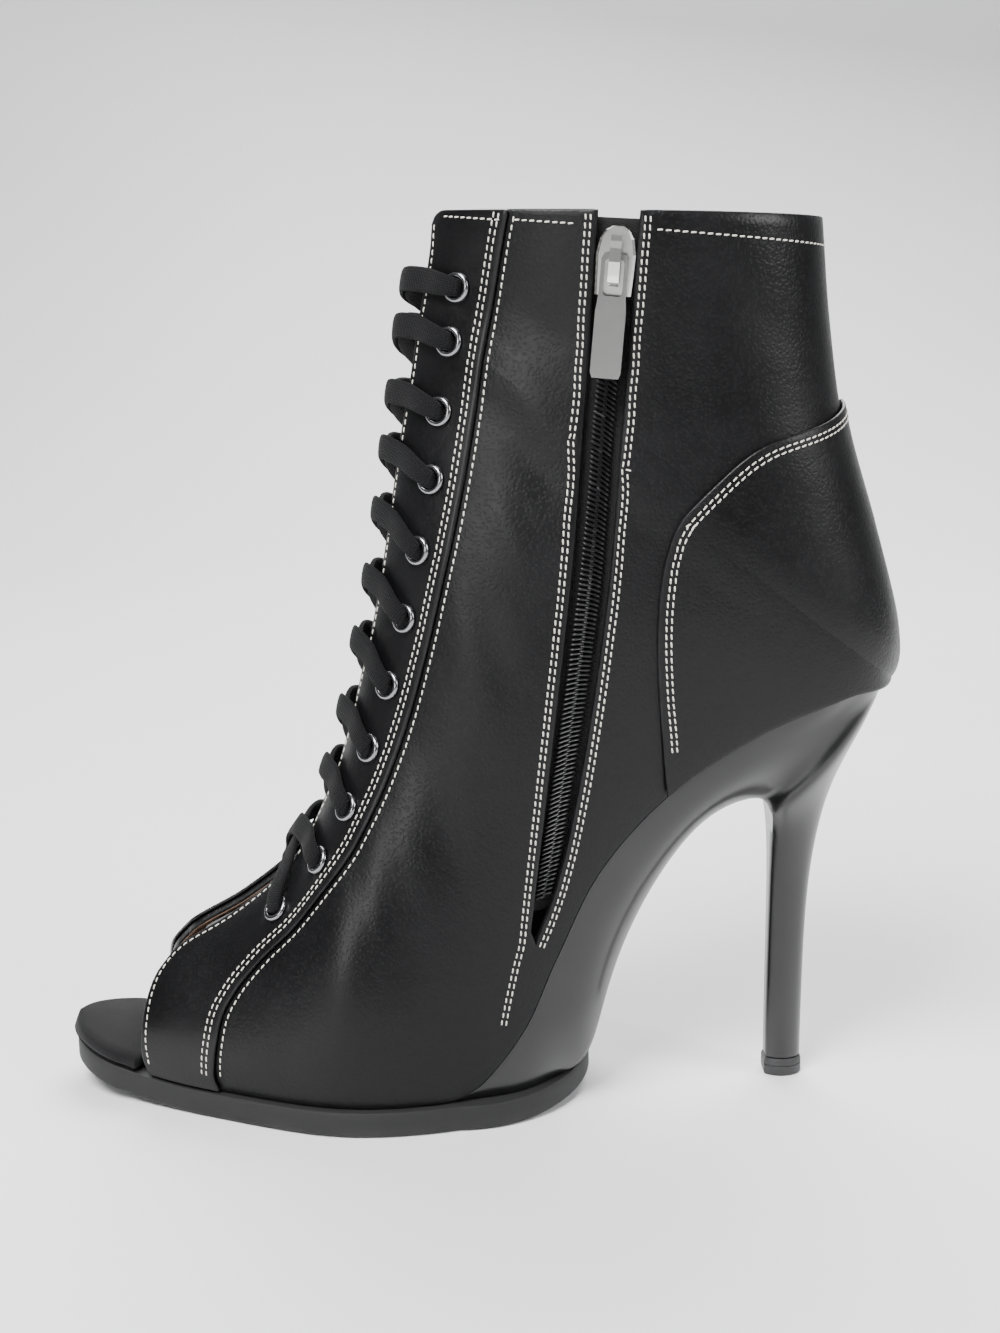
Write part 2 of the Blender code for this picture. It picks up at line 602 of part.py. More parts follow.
def facing_grid(side, lift):
    """Grid of a facing on the ribs of the upper, from the throat's edge to its seam."""
    throat, seam, *_ = np.moveaxis(ribs(side), 1, 0)
    place = round_collar(span(throat, seam, FACING_CELLS, side), side)
    foot = above_edge(place[-1, :, 0], side)
    place[-1, :, 1] = np.minimum(place[-1, :, 1], foot)
    return lifted(place[..., 0], place[..., 1], side, lift)


def build_facing(name, side):
    """Facing with the eyelets, on the outside of the upper."""
    low, high = CLEAR, CLEAR + OVERLAY_WALL
    points, faces = shell([facing_grid(side, high)], [facing_grid(side, low)])
    return add_object(name, points, faces, "facing_leather")


def counter_grid(side, lift):
    """Grid of the heel counter on the ribs of the upper."""
    *_, counter, foot = np.moveaxis(ribs(side), 1, 0)
    heel = (foot[:, 0] >= COUNTER_EDGE[-1][0]) & (foot[:, 0] <= COUNTER_TOP)
    foot[:, 1] = above_edge(foot[:, 0], side)
    counter[:, 1] = np.minimum(counter[:, 1], foot[:, 1])
    place = span(counter[heel], foot[heel], COUNTER_CELLS, side, COUNTER_BEND)
    return lifted(place[..., 0], place[..., 1], side, lift)


def build_counter():
    """Heel counter, one piece round the back of the heel."""
    low, high = CLEAR + SAG, CLEAR + SAG + OVERLAY_WALL
    points, faces = shell([counter_grid(s, high) for s in (INNER, OUTER)],
                          [counter_grid(s, low) for s in (INNER, OUTER)])
    faces = drop_shared_rims(points, faces)
    return add_object("heel_counter", points, faces, "leather")


def build_tongue(columns=5):
    """Tongue under the facings, from the collar to the toe opening."""
    stations = ribs(INNER)[:, 0, 0]
    stations = np.minimum(stations[stations > TONGUE_END], COLLAR_STATION - 0.25)
    depth = UPPER_WALL + CLEAR + 2 * SAG
    sheets = []
    for lift in (-depth, -depth - TONGUE_WALL):
        columns_of = []
        for side in (INNER, OUTER):
            half = THROAT_GAP / 2 + TONGUE_TUCK
            reach = turn_at_half(stations, half, side)
            v = even(1, 0, (columns + 1) // 2) if side == INNER else even(0, 1, (columns + 1) // 2)[1:]
            columns_of.append(lifted(stations[:, None], reach[:, None] * v, side, lift))
        sheets.append(np.concatenate(columns_of, 1))
    points, faces = shell([sheets[0]], [sheets[1]])
    return add_object("tongue", points, faces, "tongue_cloth")


def outsole_half(share, side, inset):
    """Half width of the outsole, round at the toe and at its rear end."""
    share = np.asarray(share, float)
    tip = (INSOLE_ROLL + inset) / LENGTH
    half = feather_half(share, side) + OUTSOLE_LIP - inset
    half = np.where(share < TOE_ROUND, toe_rounding(share, tip, half, side), half)
    rear_end = OUTSOLE_END - inset / LENGTH
    r = np.clip((share - OUTSOLE_ROUND) / (rear_end - OUTSOLE_ROUND), 0, 1)
    full = feather_half(np.minimum(share, OUTSOLE_ROUND), side) + OUTSOLE_LIP - inset
    return np.where(share > OUTSOLE_ROUND, full * np.sqrt(1 - r**1.9), half)


def rounded_shares(start, end, front, rear, count, ends=7):
    """Shares from start to end, closer together where both ends are round."""
    quarter = np.sin(even(TOE_TIP_ANGLE, 0, ends))
    return np.concatenate([front - (front - start) * quarter, even(front, rear, count)[1:-1],
                           rear + (end - rear) * quarter[::-1]])


def build_outsole():
    """Outsole with its toe spring, chamfered edge and round rear end."""
    rings = []
    shares = rounded_shares(INSOLE_ROLL / LENGTH, OUTSOLE_END, TOE_ROUND, OUTSOLE_ROUND, 15)
    middle_x = 0.35
    for share in shares:
        ring = []
        for side in (INNER, OUTER):
            levels = ((OUTSOLE_CHAMFER, 0), (0, OUTSOLE_CHAMFER), (0, OUTSOLE_THICK * 0.6),
                      (0.0003, OUTSOLE_THICK))
            run = []
            for inset, height in levels:
                pull = (share - middle_x) * (1 - 2 * inset / LENGTH) + middle_x
                half = outsole_half(pull, side, inset)
                run.append((x_at(pull), MID_Y + side * half, sole_bottom(pull) + height))
            ring += run if side == INNER else run[::-1]
        rings.append(ring)
    points, faces = loft(rings)
    return add_object("outsole", points, faces, "outsole_rubber", smooth=40)


def base_line(share):
    """Height of the feather line at a share of the length, toe to heel seat."""
    station = even(0, HEEL_STATION, 261)
    _, edge, shares, *_ = section(station)
    height = np.interp(share, shares, edge[:, 1])
    toe = OUTSOLE_THICK + CLEAR + sole_bottom(np.minimum(share, SPRING_START))
    return np.where(share < shares[0], toe, height)


def base_normal(share, step=1e-3):
    """Upward normal (x, z) of the feather line seen from the side."""
    slope = (base_line(share + step) - base_line(share - step)) / (2 * step * LENGTH)
    slope = np.where(np.asarray(share) > SEAT_END - 2 * step, 0.08, slope)
    return np.stack([-slope, np.ones_like(slope)], -1) / np.hypot(slope, 1)[..., None]


def foot_shares():
    """Shares of the length where the upper's ribs meet the feather line, toe end first."""
    station = ribs(INNER)[:, 3, 0][::-1]
    station = station[station <= HEEL_STATION]
    return station, section(station)[2]


def build_insole():
    """Insole: full width with a thick round edge at the toe, inside the upper behind it."""
    toe = TOE_ROUND * (1 - np.sin(even(TOE_TIP_ANGLE, 0, 8)))
    _, foot = foot_shares()
    shares = np.concatenate([toe, (INSOLE_WIDE, INSOLE_INSIDE, 0.125, 0.155), foot])
    tuck = UPPER_WALL + 2 * CLEAR + SAG
    end = SEAT_END - (tuck + SEAT_EASE) / LENGTH
    squeeze = (end - SEAT_ROUND) / (SEAT_END - SEAT_ROUND)
    placed = np.where(shares > SEAT_ROUND, SEAT_ROUND + (shares - SEAT_ROUND) * squeeze, shares)
    table = np.array(FEATHER)
    rings = []
    for share, x in zip(shares, placed):
        nx, nz = base_normal(x)
        halves = {}
        for side in (INNER, OUTER):
            roll = INSOLE_ROLL * 0.6
            out = outsole_half(share, side, 0) + roll
            if share < TOE_ROUND:
                edge = feather_half(TOE_ROUND, side) + OUTSOLE_LIP + roll
                out = toe_rounding(share, 0, edge, side)
            seat = np.clip((share - SEAT_ROUND) / (SEAT_END - SEAT_ROUND), 0, 1)
            wide = read_column(table[:, 0], table[:, 1 if side == INNER else 2], share) * BALL_WIDTH
            tucked = (wide - tuck) * math.sqrt(max(0.004, 1 - seat**SEAT_POWER))
            blend = np.clip((share - INSOLE_WIDE) / (INSOLE_INSIDE - INSOLE_WIDE), 0, 1)
            halves[side] = out + (tucked - out) * blend
        slim = min(1.0, (halves[INNER] + halves[OUTER]) / 2 / INSOLE_THICK)
        ring = []
        for side in (INNER, OUTER):
            run = [(x_at(x) + nx * (height * INSOLE_THICK + SAG),
                    MID_Y + side * (halves[side] - inset * INSOLE_THICK * slim),
                    base_line(x) + nz * (height * INSOLE_THICK + SAG))
                   for inset, height in INSOLE_EDGE]
            ring += run if side == INNER else run[::-1]
        rings.append(ring)
    points, faces = loft(rings)
    return add_object("insole", points, faces, "insole_suede")


def heel_ring(top, bottom, top_half, bottom_half, belly, count=6):
    """Ring round a section of the heel, from its top edge to its underside."""
    belly = max(belly, top_half * 1.001, bottom_half * 1.001)
    start = math.asin(min(top_half / belly, 1))
    end = math.pi - math.asin(min(bottom_half / belly, 1))
    angle = even(start, end, count)
    down = (math.cos(start) - np.cos(angle)) / (math.cos(start) - math.cos(end))
    xz = np.asarray(top) + down[:, None] * (np.asarray(bottom) - np.asarray(top))
    near = np.stack([xz[:, 0], MID_Y - belly * np.sin(angle), xz[:, 1]], -1)
    far = near[::-1] * (1, -1, 1) + (0, 2 * MID_Y, 0)
    return near, far


def build_heel():
    """Heel and arch in one moulded piece: a wedge over the outsole, an arch and a slim stem."""
    table = np.array(HEEL_UNDERSIDE)
    stations, shares = foot_shares()
    carried = stations >= table[0, 0]
    rings = []
    for station, share in zip(stations[carried], shares[carried]):
        nx, nz = base_normal(share)
        seat = np.clip((share - SEAT_ROUND) / (SEAT_END - SEAT_ROUND), 0, 1)
        top = (x_at(share) - nx * CLEAR - HEEL_INSET * seat**2, base_line(share) - nz * CLEAR)
        low_share = read_column(table[:, 0], table[:, 1], station)
        low = read_column(table[:, 0], table[:, 2], station) * HEEL_SEAT
        floor = OUTSOLE_THICK + CLEAR + sole_bottom(min(low_share, OUTSOLE_END))
        bottom = (x_at(low_share), max(low, floor))
        grow = np.clip((low_share - OUTSOLE_END) / 0.05, 0, 1)
        breast = BREAST_WIDTH / 2 * (1 - 0.35 * np.clip((low_share - 0.80) / 0.05, 0, 1))
        ring = []
        for side in (INNER, OUTER):
            top_half = max(float(feather_half(share, side)) - HEEL_INSET, 0)
            on_sole = min(top_half * 0.97, outsole_half(min(low_share, 0.60), side, 0.004))
            bottom_half = on_sole + (breast - on_sole) * grow
            belly = max(top_half, SEAT_BELLY * HEEL_WIDTH) if share > SEAT_ROUND else top_half
            near, far = heel_ring(top, bottom, top_half, bottom_half, belly)
            ring += list(near) if side == INNER else list(far)
        rings.append(ring)
    for back, high, front, low, half in between_rows(HEEL_STEM, even(0, len(HEEL_STEM) - 1, 15)):
        centre = (HEEL_STEM[-1][0] + HEEL_STEM[-1][2]) / 2
        slim = STEM_DEPTH / (HEEL_STEM[-1][0] - HEEL_STEM[-1][2]) / LENGTH - 1
        back = centre + (back - centre) * (1 + slim * (1 - high))
        front = centre + (front - centre) * (1 + slim * (1 - low))
        wide = STEM_WIDTH / (2 * HEEL_STEM[-1][4] * HEEL_WIDTH) - 1
        belly = half * HEEL_WIDTH * (1 + wide * (1 - high))
        near, far = heel_ring((x_at(back), high * HEEL_SEAT), (x_at(front), low * HEEL_SEAT), 0,
                              belly * BREAST_SHARE, belly)
        rings.append(list(near) + list(far))
    rings.append(stem_ring(HEEL_TIP_THICK + CLEAR, 0))
    points, faces = loft(rings)
    return add_object("heel", points, faces, "heel_lacquer")


def stem_ring(height, lip):
    """Level ring of the stem's end, wider by the lip."""
    back, _, front, _, half = HEEL_STEM[-1]
    centre = (back + front) / 2
    reach = STEM_DEPTH / 2 + lip
    near, far = heel_ring((x_at(centre) + reach, height), (x_at(centre) - reach, height), 0,
                          (STEM_WIDTH / 2 + lip) * BREAST_SHARE, STEM_WIDTH / 2 + lip)
    return list(near) + list(far)


def build_heel_tip():
    """Top piece under the heel, a little wider than the stem."""
    points, faces = loft([stem_ring(HEEL_TIP_THICK, 0), stem_ring(HEEL_TIP_THICK * 0.7, HEEL_TIP_LIP),
                          stem_ring(0, HEEL_TIP_LIP)])
    return add_object("heel_tip", points, faces, "tip_rubber", smooth=35)


def cut(thing, tool, operation="DIFFERENCE"):
    """Boolean of a thing with a tool that stays in the scene as a guide."""
    modifier = thing.modifiers.new(tool.name, "BOOLEAN")
    modifier.object = tool
    modifier.operation = operation
    modifier.solver = "EXACT"


def surface_frame(station, turn, side, lift=0.0, along=None):
    """Frame on the last: X across, Y up the shaft or along a given line, Z outwards."""
    normal = outward(station, turn, side)
    ahead = last(min(station + 0.05, COLLAR_STATION), turn, side)
    up = ahead - last(station - 0.05, turn, side) if along is None else along
    up = up - normal * np.dot(up, normal)
    up = up / np.linalg.norm(up)
    frame = Matrix(np.stack([np.cross(up, normal), up, normal], 1).tolist()).to_4x4()
    frame.translation = Vector(lifted(station, turn, side, lift))
    return frame


def seat_rise(station, turn, side, radius):
    """How far the last rises over its tangent plane within a radius of a place on it."""
    spot, normal = last(station, turn, side), outward(station, turn, side)
    long = np.linalg.norm(last(station + 0.05, turn, side) - spot) / 0.05
    wide = np.linalg.norm(last(station, turn + 0.01, side) - spot) / 0.01
    angle = even(0, 2 * math.pi, 9)[:-1]
    rim = last(station + radius / long * np.sin(angle), turn + radius / wide * np.cos(angle), side)
    return max(0.0, float(((rim - spot) @ normal).max()))


def turned(profile, sides):
    """Points and faces of a closed profile (radius, height) turned round the Z axis."""
    angle = even(0, 2 * math.pi, sides + 1)[:, None]
    radius, height = np.array(profile + profile[:1]).T[:, None]
    rings = np.stack([radius * np.cos(angle), radius * np.sin(angle), height + 0 * angle], -1)
    return list(rings.reshape(-1, 3)), grid_faces(sides + 1, len(profile) + 1, 0)


def build_eyelets(upper, facings):
    """Eyelets on both facings, each a flange with a barrel, and their holes."""
    bore, outer = EYELET_HOLE / 2, EYELET_OUTER / 2
    seat = OVERLAY_WALL + 2 * CLEAR
    profile = [(bore, CLEAR - UPPER_WALL), (bore + 0.0002, seat + EYELET_HEIGHT),
               (outer, seat + EYELET_HEIGHT * 0.2), (bore + EYELET_BARREL, seat),
               (bore + EYELET_BARREL, CLEAR - UPPER_WALL)]
    hole = (bore + EYELET_BARREL + CLEAR) / math.cos(math.pi / 6)
    for side, facing in zip((INNER, OUTER), facings):
        mesh = None
        tools = []
        for number, (station, turn) in enumerate(EYELETS, 1):
            frame = surface_frame(station, turn, side, seat_rise(station, turn, side, outer))
            name = f"eyelet_{'inner' if side == INNER else 'outer'}_{number:02d}"
            if mesh is None:
                ring = add_object(name, *turned(profile, 8), "eyelet_metal", smooth=30)
                mesh = ring.data
            else:
                ring = bpy.data.objects.new(name, mesh)
                bpy.context.scene.collection.objects.link(ring)
            ring.matrix_world = frame
            drill = [(0, -UPPER_WALL - 0.002), (hole, -UPPER_WALL - 0.002), (hole, 0.003), (0, 0.003)]
            points, faces = turned(drill, 6)
            tools.append(([frame @ Vector(p) for p in points], faces))
        points, faces = [], []
        for more, some in tools:
            faces += [[v + len(points) for v in face] for face in some]
            points += more
        tool = add_object(f"eyelet_holes_{facing.name}", points, faces, None, smooth=0, cutter=True)
        cut(upper, tool)
        cut(facing, tool)


def lace_strip(name, start, end, lift, material=None):
    """Flat strip of lace over the throat, between two eyelets (station, signed turn)."""
    ends = [last(s, abs(t), INNER if t < 0 else OUTER) for s, t in (start, end)]
    over = LACE_OVERRUN / np.linalg.norm(ends[1] - ends[0])
    v = even(-over, 1 + over, 6)
    station = start[0] + (end[0] - start[0]) * v
    turn = start[1] + (end[1] - start[1]) * v
    spots, normals = [], []
    for s, t in zip(station, turn):
        side = INNER if t < 0 else OUTER
        spots.append(lifted(s, abs(t), side, lift))
        normals.append(outward(s, abs(t), side))
    spots, normals = np.array(spots), np.array(normals)
    along = np.gradient(spots, axis=0)
    across = np.cross(normals, along)
    across = across / np.linalg.norm(across, axis=-1, keepdims=True) * LACE_WIDTH / 2
    thick = normals * LACE_THICK
    rings = np.stack([spots - across, spots + across, spots + across + thick,
                      spots - across + thick], 1)
    points, faces = loft(rings)
    return add_object(name, points, faces, material, smooth=30, cutter=material is None)


def build_laces():
    """Crossings of the two lace ends over the throat, joined to one piece."""
    low = OVERLAY_WALL + 3 * CLEAR + EYELET_HEIGHT + 2 * SAG + LACE_LIFT
    rows = [(station, turn) for station, turn in EYELETS]
    strips = []
    for (high, high_turn), (down, down_turn) in zip(rows, rows[1:]):
        strips.append(((high, -high_turn), (down, down_turn), low))
        strips.append(((high, high_turn), (down, -down_turn), low + LACE_STEP))
    laces = lace_strip("lace_crossings", *strips[0], material="lace_cotton")
    for number, strip in enumerate(strips[1:], 2):
        cut(laces, lace_strip(f"lace_strip_{number:02d}", *strip), "UNION")
    return laces


def slot_points(row, across, lift):
    """Points in the slot of the zip, 0 at its front edge to 1 at its rear edge."""
    place = between_rows(ZIP_SLOT, row)
    station = place[..., 0] + (place[..., 2] - place[..., 0]) * across
    turn = place[..., 1] + (place[..., 3] - place[..., 1]) * across
    return lifted(station, turn, INNER, lift)


def slot_width(row):
    """Width of the slot at a row."""
    gap = slot_points(row, np.ones_like(row), 0) - slot_points(row, np.zeros_like(row), 0)
    return np.linalg.norm(gap, axis=-1)


TAPE_DEPTH = UPPER_WALL + CLEAR + ZIP_SETBACK     # outer face of the tape below the last


def build_zip_tape():
    """Woven tape behind the slot."""
    rows = even(0.35, len(ZIP_SLOT) - 1.9, 17)
    margin = (ZIP_TAPE_MARGIN / slot_width(rows))[:, None]
    across = np.array((0, 0.25, 0.5, 0.75, 1))[None]
    across = across * (1 + 2 * margin) - margin
    points, faces = shell([slot_points(rows[:, None], across, -TAPE_DEPTH)],
                          [slot_points(rows[:, None], across, -TAPE_DEPTH - ZIP_TAPE_WALL)])
    return add_object("zip_tape", points, faces, "zip_tape")


def slider_frame():
    """Frame in the middle of the slider: X across, Y up, Z outwards."""
    place = between_rows(ZIP_SLOT, SLIDER_ROW)
    above, below = slot_points(np.array((SLIDER_ROW - 0.5, SLIDER_ROW + 0.5)), 0.5, 0)
    return surface_frame((place[0] + place[2]) / 2, (place[1] + place[3]) / 2, INNER,
                         along=above - below)


def build_zip_chain():
    """Closed coil of the zip, from the slider's mouth to the lower end of the slot."""
    frame = slider_frame()
    start = SLIDER_LENGTH / 2 - SLIDER_MOUTH + CHAIN_THICK
    rows = even(SLIDER_ROW, len(ZIP_SLOT) - 2.2, 400)
    middle = slot_points(rows, np.full_like(rows, 0.5), 0)
    below = -(middle - np.array(frame.translation)) @ np.array(frame.col[1][:3])
    rows = even(np.interp(start, below, rows), rows[-1], 18)
    half = np.minimum(CHAIN_WIDTH / 2, slot_width(rows) / 2 - CHAIN_EDGE) / slot_width(rows)
    low = -TAPE_DEPTH + CLEAR
    corners = ((-1, low), (1, low), (1, low + CHAIN_THICK), (-1, low + CHAIN_THICK))
    rings = np.stack([slot_points(rows, 0.5 + sign * half, lift) for sign, lift in corners], 1)
    points, faces = loft(rings)
    return add_object("zip_chain", points, faces, "zip_coil", smooth=30)


def build_zip_slider():
    """Slider with its bridge and the mouth that the chain runs into."""
    frame = slider_frame()
    low = -TAPE_DEPTH + CLEAR
    top = low + SLIDER_THICK
    corner = 0.0006
    rings = []
    for down, wide in SLIDER_OUTLINE:
        y, half = SLIDER_LENGTH * (0.5 - down), SLIDER_WIDTH / 2 * wide
        ease = min(corner, half / 2)
        rings.append([(-half, y, low), (half, y, low), (half, y, top - ease), (half - ease, y, top),
                      (ease - half, y, top), (-half, y, top - ease)])
    slider = add_object("zip_slider", *loft(rings), "zip_metal", smooth=30)
    angle = even(0, math.pi, 9)
    reach, rise = (BRIDGE_LENGTH - BRIDGE_BAR) / 2, BRIDGE_HEIGHT - BRIDGE_BAR / 2
    y = reach * np.sign(np.cos(angle)) * np.abs(np.cos(angle))**0.6
    z = top + rise * np.sin(angle)**0.6
    z[[0, -1]] = top - BRIDGE_FOOT
    path = np.stack([y, z], -1)
    along = np.gradient(path, axis=0)
    along[[0, -1]] = (0, 1), (0, -1)
    side = np.stack([along[:, 1], -along[:, 0]], -1) / np.linalg.norm(along, axis=-1, keepdims=True)
    inner, outer = path - side * BRIDGE_BAR / 2, path + side * BRIDGE_BAR / 2
    wide = np.full(len(path), BRIDGE_WIDTH / 2)
    rings = np.stack([np.c_[-wide, inner], np.c_[wide, inner], np.c_[wide, outer],
                      np.c_[-wide, outer]], 1)
    bridge = add_object("slider_bridge", *loft(rings), None, smooth=0, cutter=True)
    half = CHAIN_WIDTH / 2 + 2 * CLEAR
    end = -SLIDER_LENGTH / 2
    box = [(x, y, z) for z in (low - 0.001, low + CHAIN_THICK + 2 * CLEAR)
           for x, y in ((-half, end - 0.001), (half, end - 0.001), (half, end + SLIDER_MOUTH),
                        (-half, end + SLIDER_MOUTH))]
    mouth = add_object("slider_mouth", *loft(np.array(box).reshape(2, 4, 3)), None, smooth=0,
                       cutter=True)
    cut(slider, bridge, "UNION")
    cut(slider, mouth)
    for thing in (slider, bridge, mouth):
        thing.matrix_world = frame
    return slider


def pull_frame():
    """Frame on the pull's hinge: X along the axis, Y up, Z outwards from the shoe."""
    frame = slider_frame()
    top = SLIDER_THICK - TAPE_DEPTH + CLEAR
    axis = frame.col[0].to_3d()
    up = (Vector((0, 0, 1)) - axis * axis.z).normalized()
    spot = frame @ Vector((0, BRIDGE_LENGTH / 2 - PULL_DROP, top + (BRIDGE_HEIGHT - BRIDGE_BAR) / 2))
    hinge = Matrix((axis, up, axis.cross(up))).transposed().to_4x4()
    hinge.translation = spot
    return hinge


def build_zip_pull():
    """Pull tab that hangs from the bridge, with its origin on the hinge's axis."""
    edge, hole = [], []
    neck = PULL_NECK_WIDTH / PULL_WIDTH / (2 * PULL_OUTLINE[2][0])
    for wide, down, hole_wide, hole_down in PULL_OUTLINE:
        slim = neck if down < 0.35 else 1
        edge.append((wide * PULL_WIDTH * slim, PULL_BAR / 2 - down * (PULL_LENGTH + PULL_BAR / 2)))
        hole.append((hole_wide * PULL_HOLE_WIDTH, -PULL_BAR / 2 - hole_down * PULL_HOLE_LENGTH))
    edge += [(-x, y) for x, y in edge[::-1]]
    hole += [(-x, y) for x, y in hole[::-1]]
    half = PULL_THICK / 2
    loops = [(edge, half), (edge, -half), (hole, -half), (hole, half), (edge, half)]
    points = [(x, y, z) for loop, z in loops for x, y in loop]
    faces = grid_faces(len(loops), len(edge), 0, wrap=True)
    pull = add_object("zip_pull", points, faces, "zip_metal", smooth=30)
    pull.matrix_world = pull_frame()
    return pull


def clear_scene():
    """Remove what the scene holds."""
    for thing in list(bpy.data.objects):
        bpy.data.objects.remove(thing, do_unlink=True)


def main():
    """Build every piece of the shoe."""
    clear_scene()
    build_outsole()
    build_insole()
    build_heel()
    build_heel_tip()
    upper = build_upper()
    build_tongue()
    facings = build_facing("facing_inner", INNER), build_facing("facing_outer", OUTER)
    build_counter()
    build_eyelets(upper, facings)
    build_laces()
    build_zip_tape()
    build_zip_chain()
    build_zip_slider()
    build_zip_pull()


main()
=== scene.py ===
"""Looks of an open-toed lace-up ankle boot on a slim heel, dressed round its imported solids.

The frame has +Z up, the toe towards -X and the inner side with the zip towards -Y.
Every leather surface is a grid on one last: a fan of sections with a station along
the foot (0 at the toe, 18 at the collar) and a turn round each section (0 on the
front ridge, 1 on the back seam).
"""

import logging
import math
from dataclasses import dataclass, field
from enum import Enum
from functools import cached_property
from typing import Any, Callable, ClassVar, Sequence

import bmesh
import bpy
import numpy as np
from mathutils import Matrix, Vector


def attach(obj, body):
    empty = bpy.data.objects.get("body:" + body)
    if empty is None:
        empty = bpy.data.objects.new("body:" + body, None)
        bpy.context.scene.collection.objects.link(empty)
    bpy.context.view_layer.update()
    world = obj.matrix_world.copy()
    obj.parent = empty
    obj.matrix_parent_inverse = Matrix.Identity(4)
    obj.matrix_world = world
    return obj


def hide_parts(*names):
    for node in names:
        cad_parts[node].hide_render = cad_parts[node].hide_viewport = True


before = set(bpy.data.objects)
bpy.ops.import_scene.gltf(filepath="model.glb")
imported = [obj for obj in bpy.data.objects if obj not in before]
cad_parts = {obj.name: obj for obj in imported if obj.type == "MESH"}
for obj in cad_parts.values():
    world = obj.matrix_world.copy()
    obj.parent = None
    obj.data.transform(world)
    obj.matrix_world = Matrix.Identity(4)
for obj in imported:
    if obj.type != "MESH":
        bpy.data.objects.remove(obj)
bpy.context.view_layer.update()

LOG = logging.getLogger("boot")
Array = np.ndarray
BOOT, PULL = "boot", "pull"
Colour = tuple[float, float, float]
MM = 0.001


class Side(Enum):
    """The two sides of the boot; the value is the sign of Y."""

    INNER = -1
    OUTER = 1


# ---------------------------------------------------------------- shader maths


class Wire:
    """An output socket whose arithmetic adds Math nodes."""

    def __init__(self, graph: "Graph", socket: Any) -> None:
        """Keep the graph and the socket."""
        self.graph, self.socket = graph, socket

    def _math(self, operation: str, first: Any, second: Any = None) -> "Wire":
        """One Math node on two values."""
        inputs = {0: first} if second is None else {0: first, 1: second}
        return self.graph.node("ShaderNodeMath", {"operation": operation}, inputs)

    def __add__(self, other: Any) -> "Wire":
        """Sum."""
        return self._math("ADD", self, other)

    __radd__ = __add__

    def __sub__(self, other: Any) -> "Wire":
        """Difference."""
        return self._math("SUBTRACT", self, other)

    def __rsub__(self, other: Any) -> "Wire":
        """Reflected difference."""
        return self._math("SUBTRACT", other, self)

    def __mul__(self, other: Any) -> "Wire":
        """Product."""
        return self._math("MULTIPLY", self, other)

    __rmul__ = __mul__

    def sine(self) -> "Wire":
        """Sine of the value."""
        return self._math("SINE", self)

    def ease(self, low: float, high: float, start: float = 0.0, end: float = 1.0) -> "Wire":
        """Smooth step from start at low to end at high."""
        return self.graph.node("ShaderNodeMapRange", {"interpolation_type": "SMOOTHSTEP"},
                               {0: self, 1: low, 2: high, 3: start, 4: end})


class Graph:
    """A material's node tree with one method that adds nodes."""

    def __init__(self, name: str) -> None:
        """Start an empty Principled material."""
        self.material = bpy.data.materials.new(name)
        self.material.use_nodes = True
        self.tree = self.material.node_tree
        self.shader = self.tree.nodes["Principled BSDF"]

    def node(self, kind: str, settings: dict[str, Any] | None = None,
             inputs: dict[Any, Any] | None = None, output: Any = 0) -> Wire:
        """Add a node.

        Args:
            kind: the node's type name.
            settings: properties set first.
            inputs: values or wires by socket number or name.
            output: number or name of the socket that is returned.

        Returns:
            A wire from the chosen output.
        """
        made = self.tree.nodes.new(kind)
        for key, value in (settings or {}).items():
            setattr(made, key, value)
        for key, value in (inputs or {}).items():
            self._plug(made.inputs[key], value)
        return Wire(self, made.outputs[output])

    def _plug(self, socket: Any, value: Any) -> None:
        """Link a wire or set a value."""
        if isinstance(value, Wire):
            self.tree.links.new(value.socket, socket)
        elif value is not None:
            socket.default_value = value

    def set(self, **values: Any) -> None:
        """Set or link sockets of the shader; underscores stand for spaces."""
        for key, value in values.items():
            self._plug(self.shader.inputs[key.replace("_", " ")], value)

    def place(self, scale: Sequence[float] = (1, 1, 1)) -> Wire:
        """Object coordinates, scaled."""
        at = self.node("ShaderNodeTexCoord", output="Object")
        return self.node("ShaderNodeMapping", {}, {"Vector": at, "Scale": scale})

    def axis(self, place: Wire, number: int) -> Wire:
        """One coordinate of a place: 0 along, 1 across, 2 upwards."""
        return self.node("ShaderNodeSeparateXYZ", {}, {0: place}, output=number)

    def ribs(self, value: Wire, pitch: float) -> Wire:
        """Sine ribs from 0 to 1, one for each pitch of a value."""
        return (value * (2 * math.pi / pitch)).sine() * 0.5 + 0.5

    def attribute(self, name: str) -> Wire:
        """A number stored on the mesh's points."""
        return self.node("ShaderNodeAttribute", {"attribute_name": name}, output="Fac")

    def noise(self, vector: Wire, scale: float, detail: float = 3.0, rough: float = 0.5) -> Wire:
        """Noise from 0 to 1."""
        return self.node("ShaderNodeTexNoise", {}, {"Vector": vector, "Scale": scale,
                                                    "Detail": detail, "Roughness": rough})

    def cells(self, vector: Wire, scale: float) -> Wire:
        """Distance to the nearest of scattered points."""
        return self.node("ShaderNodeTexVoronoi", {}, {"Vector": vector, "Scale": scale})

    def blend(self, factor: Any, first: Any, second: Any) -> Wire:
        """Mix of two colours."""
        made = self.tree.nodes.new("ShaderNodeMix")
        made.data_type = "RGBA"
        for key, value in ((0, factor), (6, first), (7, second)):
            self._plug(made.inputs[key], value)
        return Wire(self, made.outputs[2])

    def bump(self, height: Wire, distance: float, strength: float = 1.0,
             normal: Wire | None = None) -> Wire:
        """Normal from a height of 0 to 1 that stands for a distance."""
        return self.node("ShaderNodeBump", {}, {"Height": height, "Distance": distance,
                                                "Strength": strength, "Normal": normal})


# ---------------------------------------------------------------- finishes


